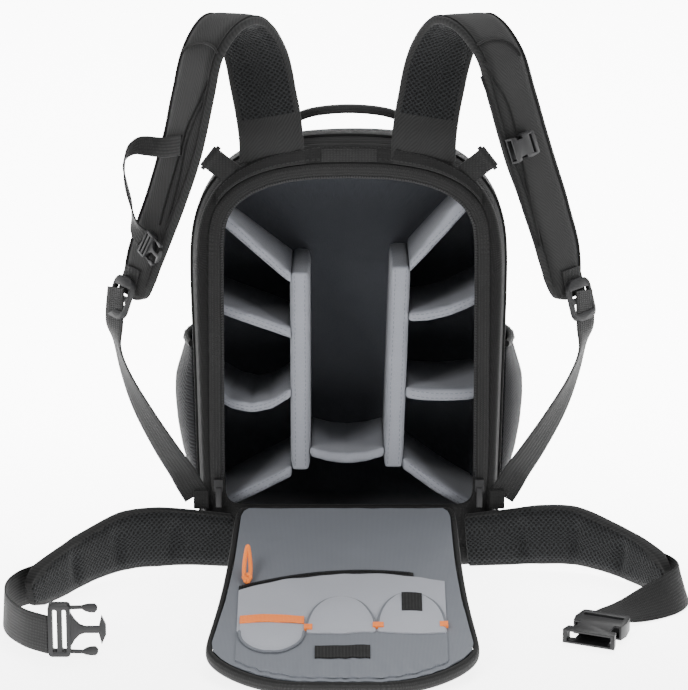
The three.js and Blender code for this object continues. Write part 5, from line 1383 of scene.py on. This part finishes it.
pocket_edge_lines = []
for row in CARD_POCKETS:
    start, stop, near, far = pocket_edges(row)
    top, bottom = strip(start, stop, near, far, LEVEL[1] + SHEET / 2,
                        lambda u, v, x, s: panel_swell(x, s) + 0.9
                        + 3.4 * (math.sin(math.pi * u) * math.sin(math.pi * min(v + 0.1, 1))) ** 0.7)
    pocket = slab(24, 14, top, bottom, row["name"] + "_cloth", pocket_cloth,
                  [row["name"]], levels=0)
    cut_to(start, stop, near, far)
    rim = [mix(start, stop, 0.5 - 0.5 * math.cos(math.pi * k / 30)) for k in range(31)]
    domed = near if row["dome"] > 0.1 else far
    pocket_edge_lines.append(cord_line(
        [(on_flap(x, domed(x), LEVEL[1] + 2.4 + panel_swell(x, domed(x))), Vector((0, 0, 1))) for x in rim],
        0.0014, lift=0))
# Cord along each pocket's domed edge, in the darker lining cloth: a sewn edge, and its dark tone is also
# painted shade standing in for the soft shadow along the pocket edges.
finished("card_pocket_piping_with_painted_shade", together(pocket_edge_lines), [flap_cloth])

start, stop, near, far = pocket_edges(CARD_POCKETS[0])
top, bottom = strip(start, stop, near, lambda x: near(x) + 0.038 * FLAP_LENGTH, LEVEL[2],
                    lambda u, v, x, s: panel_swell(x, s) + 1.0 + 3.6 * math.sin(math.pi * u) ** 0.7)
slab(24, 6, top, bottom, "orange_pocket_band", orange_cloth, ["card_pocket_band"], levels=0)
# Ends of the elastic that holds the two domed pockets, in the same orange.
ELASTIC_ENDS = ((-0.33, -0.27, 0.715), (0.17, 0.25, 0.71), (0.66, 0.72, 0.7))
for k, (from_share, to_share, along_share) in enumerate(ELASTIC_ENDS):
    top, bottom = strip(from_share * FLAP_HALF_WIDTH, to_share * FLAP_HALF_WIDTH,
                        lambda x: (along_share - 0.012) * FLAP_LENGTH,
                        lambda x: (along_share + 0.014) * FLAP_LENGTH,
                        LEVEL[2], lambda u, v, x, s: panel_swell(x, s) + 1.6)
    slab(6, 3, top, bottom, "orange_elastic_end_" + str(k), orange_cloth, levels=0)

# Two woven labels, both bare: a long one at the panel's foot and a small square one on the right pocket.
LABELS = [
    {"node": "flap_label", "across": -0.05, "along": 0.846, "wide": 0.4, "long": 0.062, "rise": 1.0},
    {"node": "card_label", "across": 0.46, "along": 0.595, "wide": 0.15, "long": 0.09, "rise": 4.9},
]
for label in LABELS:
    top, bottom = strip((label["across"] - label["wide"] / 2) * FLAP_HALF_WIDTH,
                        (label["across"] + label["wide"] / 2) * FLAP_HALF_WIDTH,
                        lambda x: (label["along"] - label["long"] / 2) * FLAP_LENGTH,
                        lambda x: (label["along"] + label["long"] / 2) * FLAP_LENGTH,
                        LEVEL[1] + SHEET / 2, lambda u, v, x, s: panel_swell(x, s) + label["rise"])
    slab(12, 6, top, bottom, "bare_" + label["node"], webbing_black, [label["node"]], levels=0)

# Orange cord loop on the flap's zip slider, standing up a little, with a knot at its foot.
PULL_RADIUS, PULL_LENGTH, PULL_RISE = 2.1, 46, math.radians(24)
orange_cord = cloth("orange_cord", "#f98b3a", "#cf6220", 1.4, 0.3, "twill", rough=0.7, fuzz=0.1)
pull_x = ZIP_FROM + 0.06 * FLAP_HALF_WIDTH
pull_foot = on_flap(pull_x, zip_line(pull_x) - 2, FLAP_THICK / 2 + GAP + 2 * (SHEET + GAP) + 1.3)
pull_up = Vector((0, math.cos(FLAP_FALL + PULL_RISE), math.sin(FLAP_FALL + PULL_RISE)))
pull_normal = Vector((0, -pull_up.z, pull_up.y))
pull_line = []
for k in range(48):
    a = k / 48 * math.tau
    narrow = 0.022 * FLAP_HALF_WIDTH * (1 + 0.5 * math.cos(a)) * math.sin(a)
    rise = PULL_LENGTH / 2 - math.cos(a) * (PULL_LENGTH / 2 - PULL_RADIUS)
    pull_line.append((pull_foot + (Vector((narrow, 0, 0)) + pull_up * rise) * MM, pull_normal))
loop_shape = cord_line(pull_line, PULL_RADIUS * MM, closed=True, sides=10, lift=0)
knot_line = [(pull_foot + (Vector((math.sin(k / 12 * math.tau) * 3.2, 0, 0))
                           + pull_up * (7 + math.cos(k / 12 * math.tau) * 2.4)
                           + pull_normal * (1.4 + 0.8 * math.sin(k / 6 * math.tau))) * MM, pull_normal)
             for k in range(12)]
knot_shape = cord_line(knot_line, PULL_RADIUS * 1.1 * MM, closed=True, sides=10, lift=0)
finished("orange_zip_pull", together([loop_shape, knot_shape]), [orange_cord],
         ["flap_zip_pull"], levels=1)
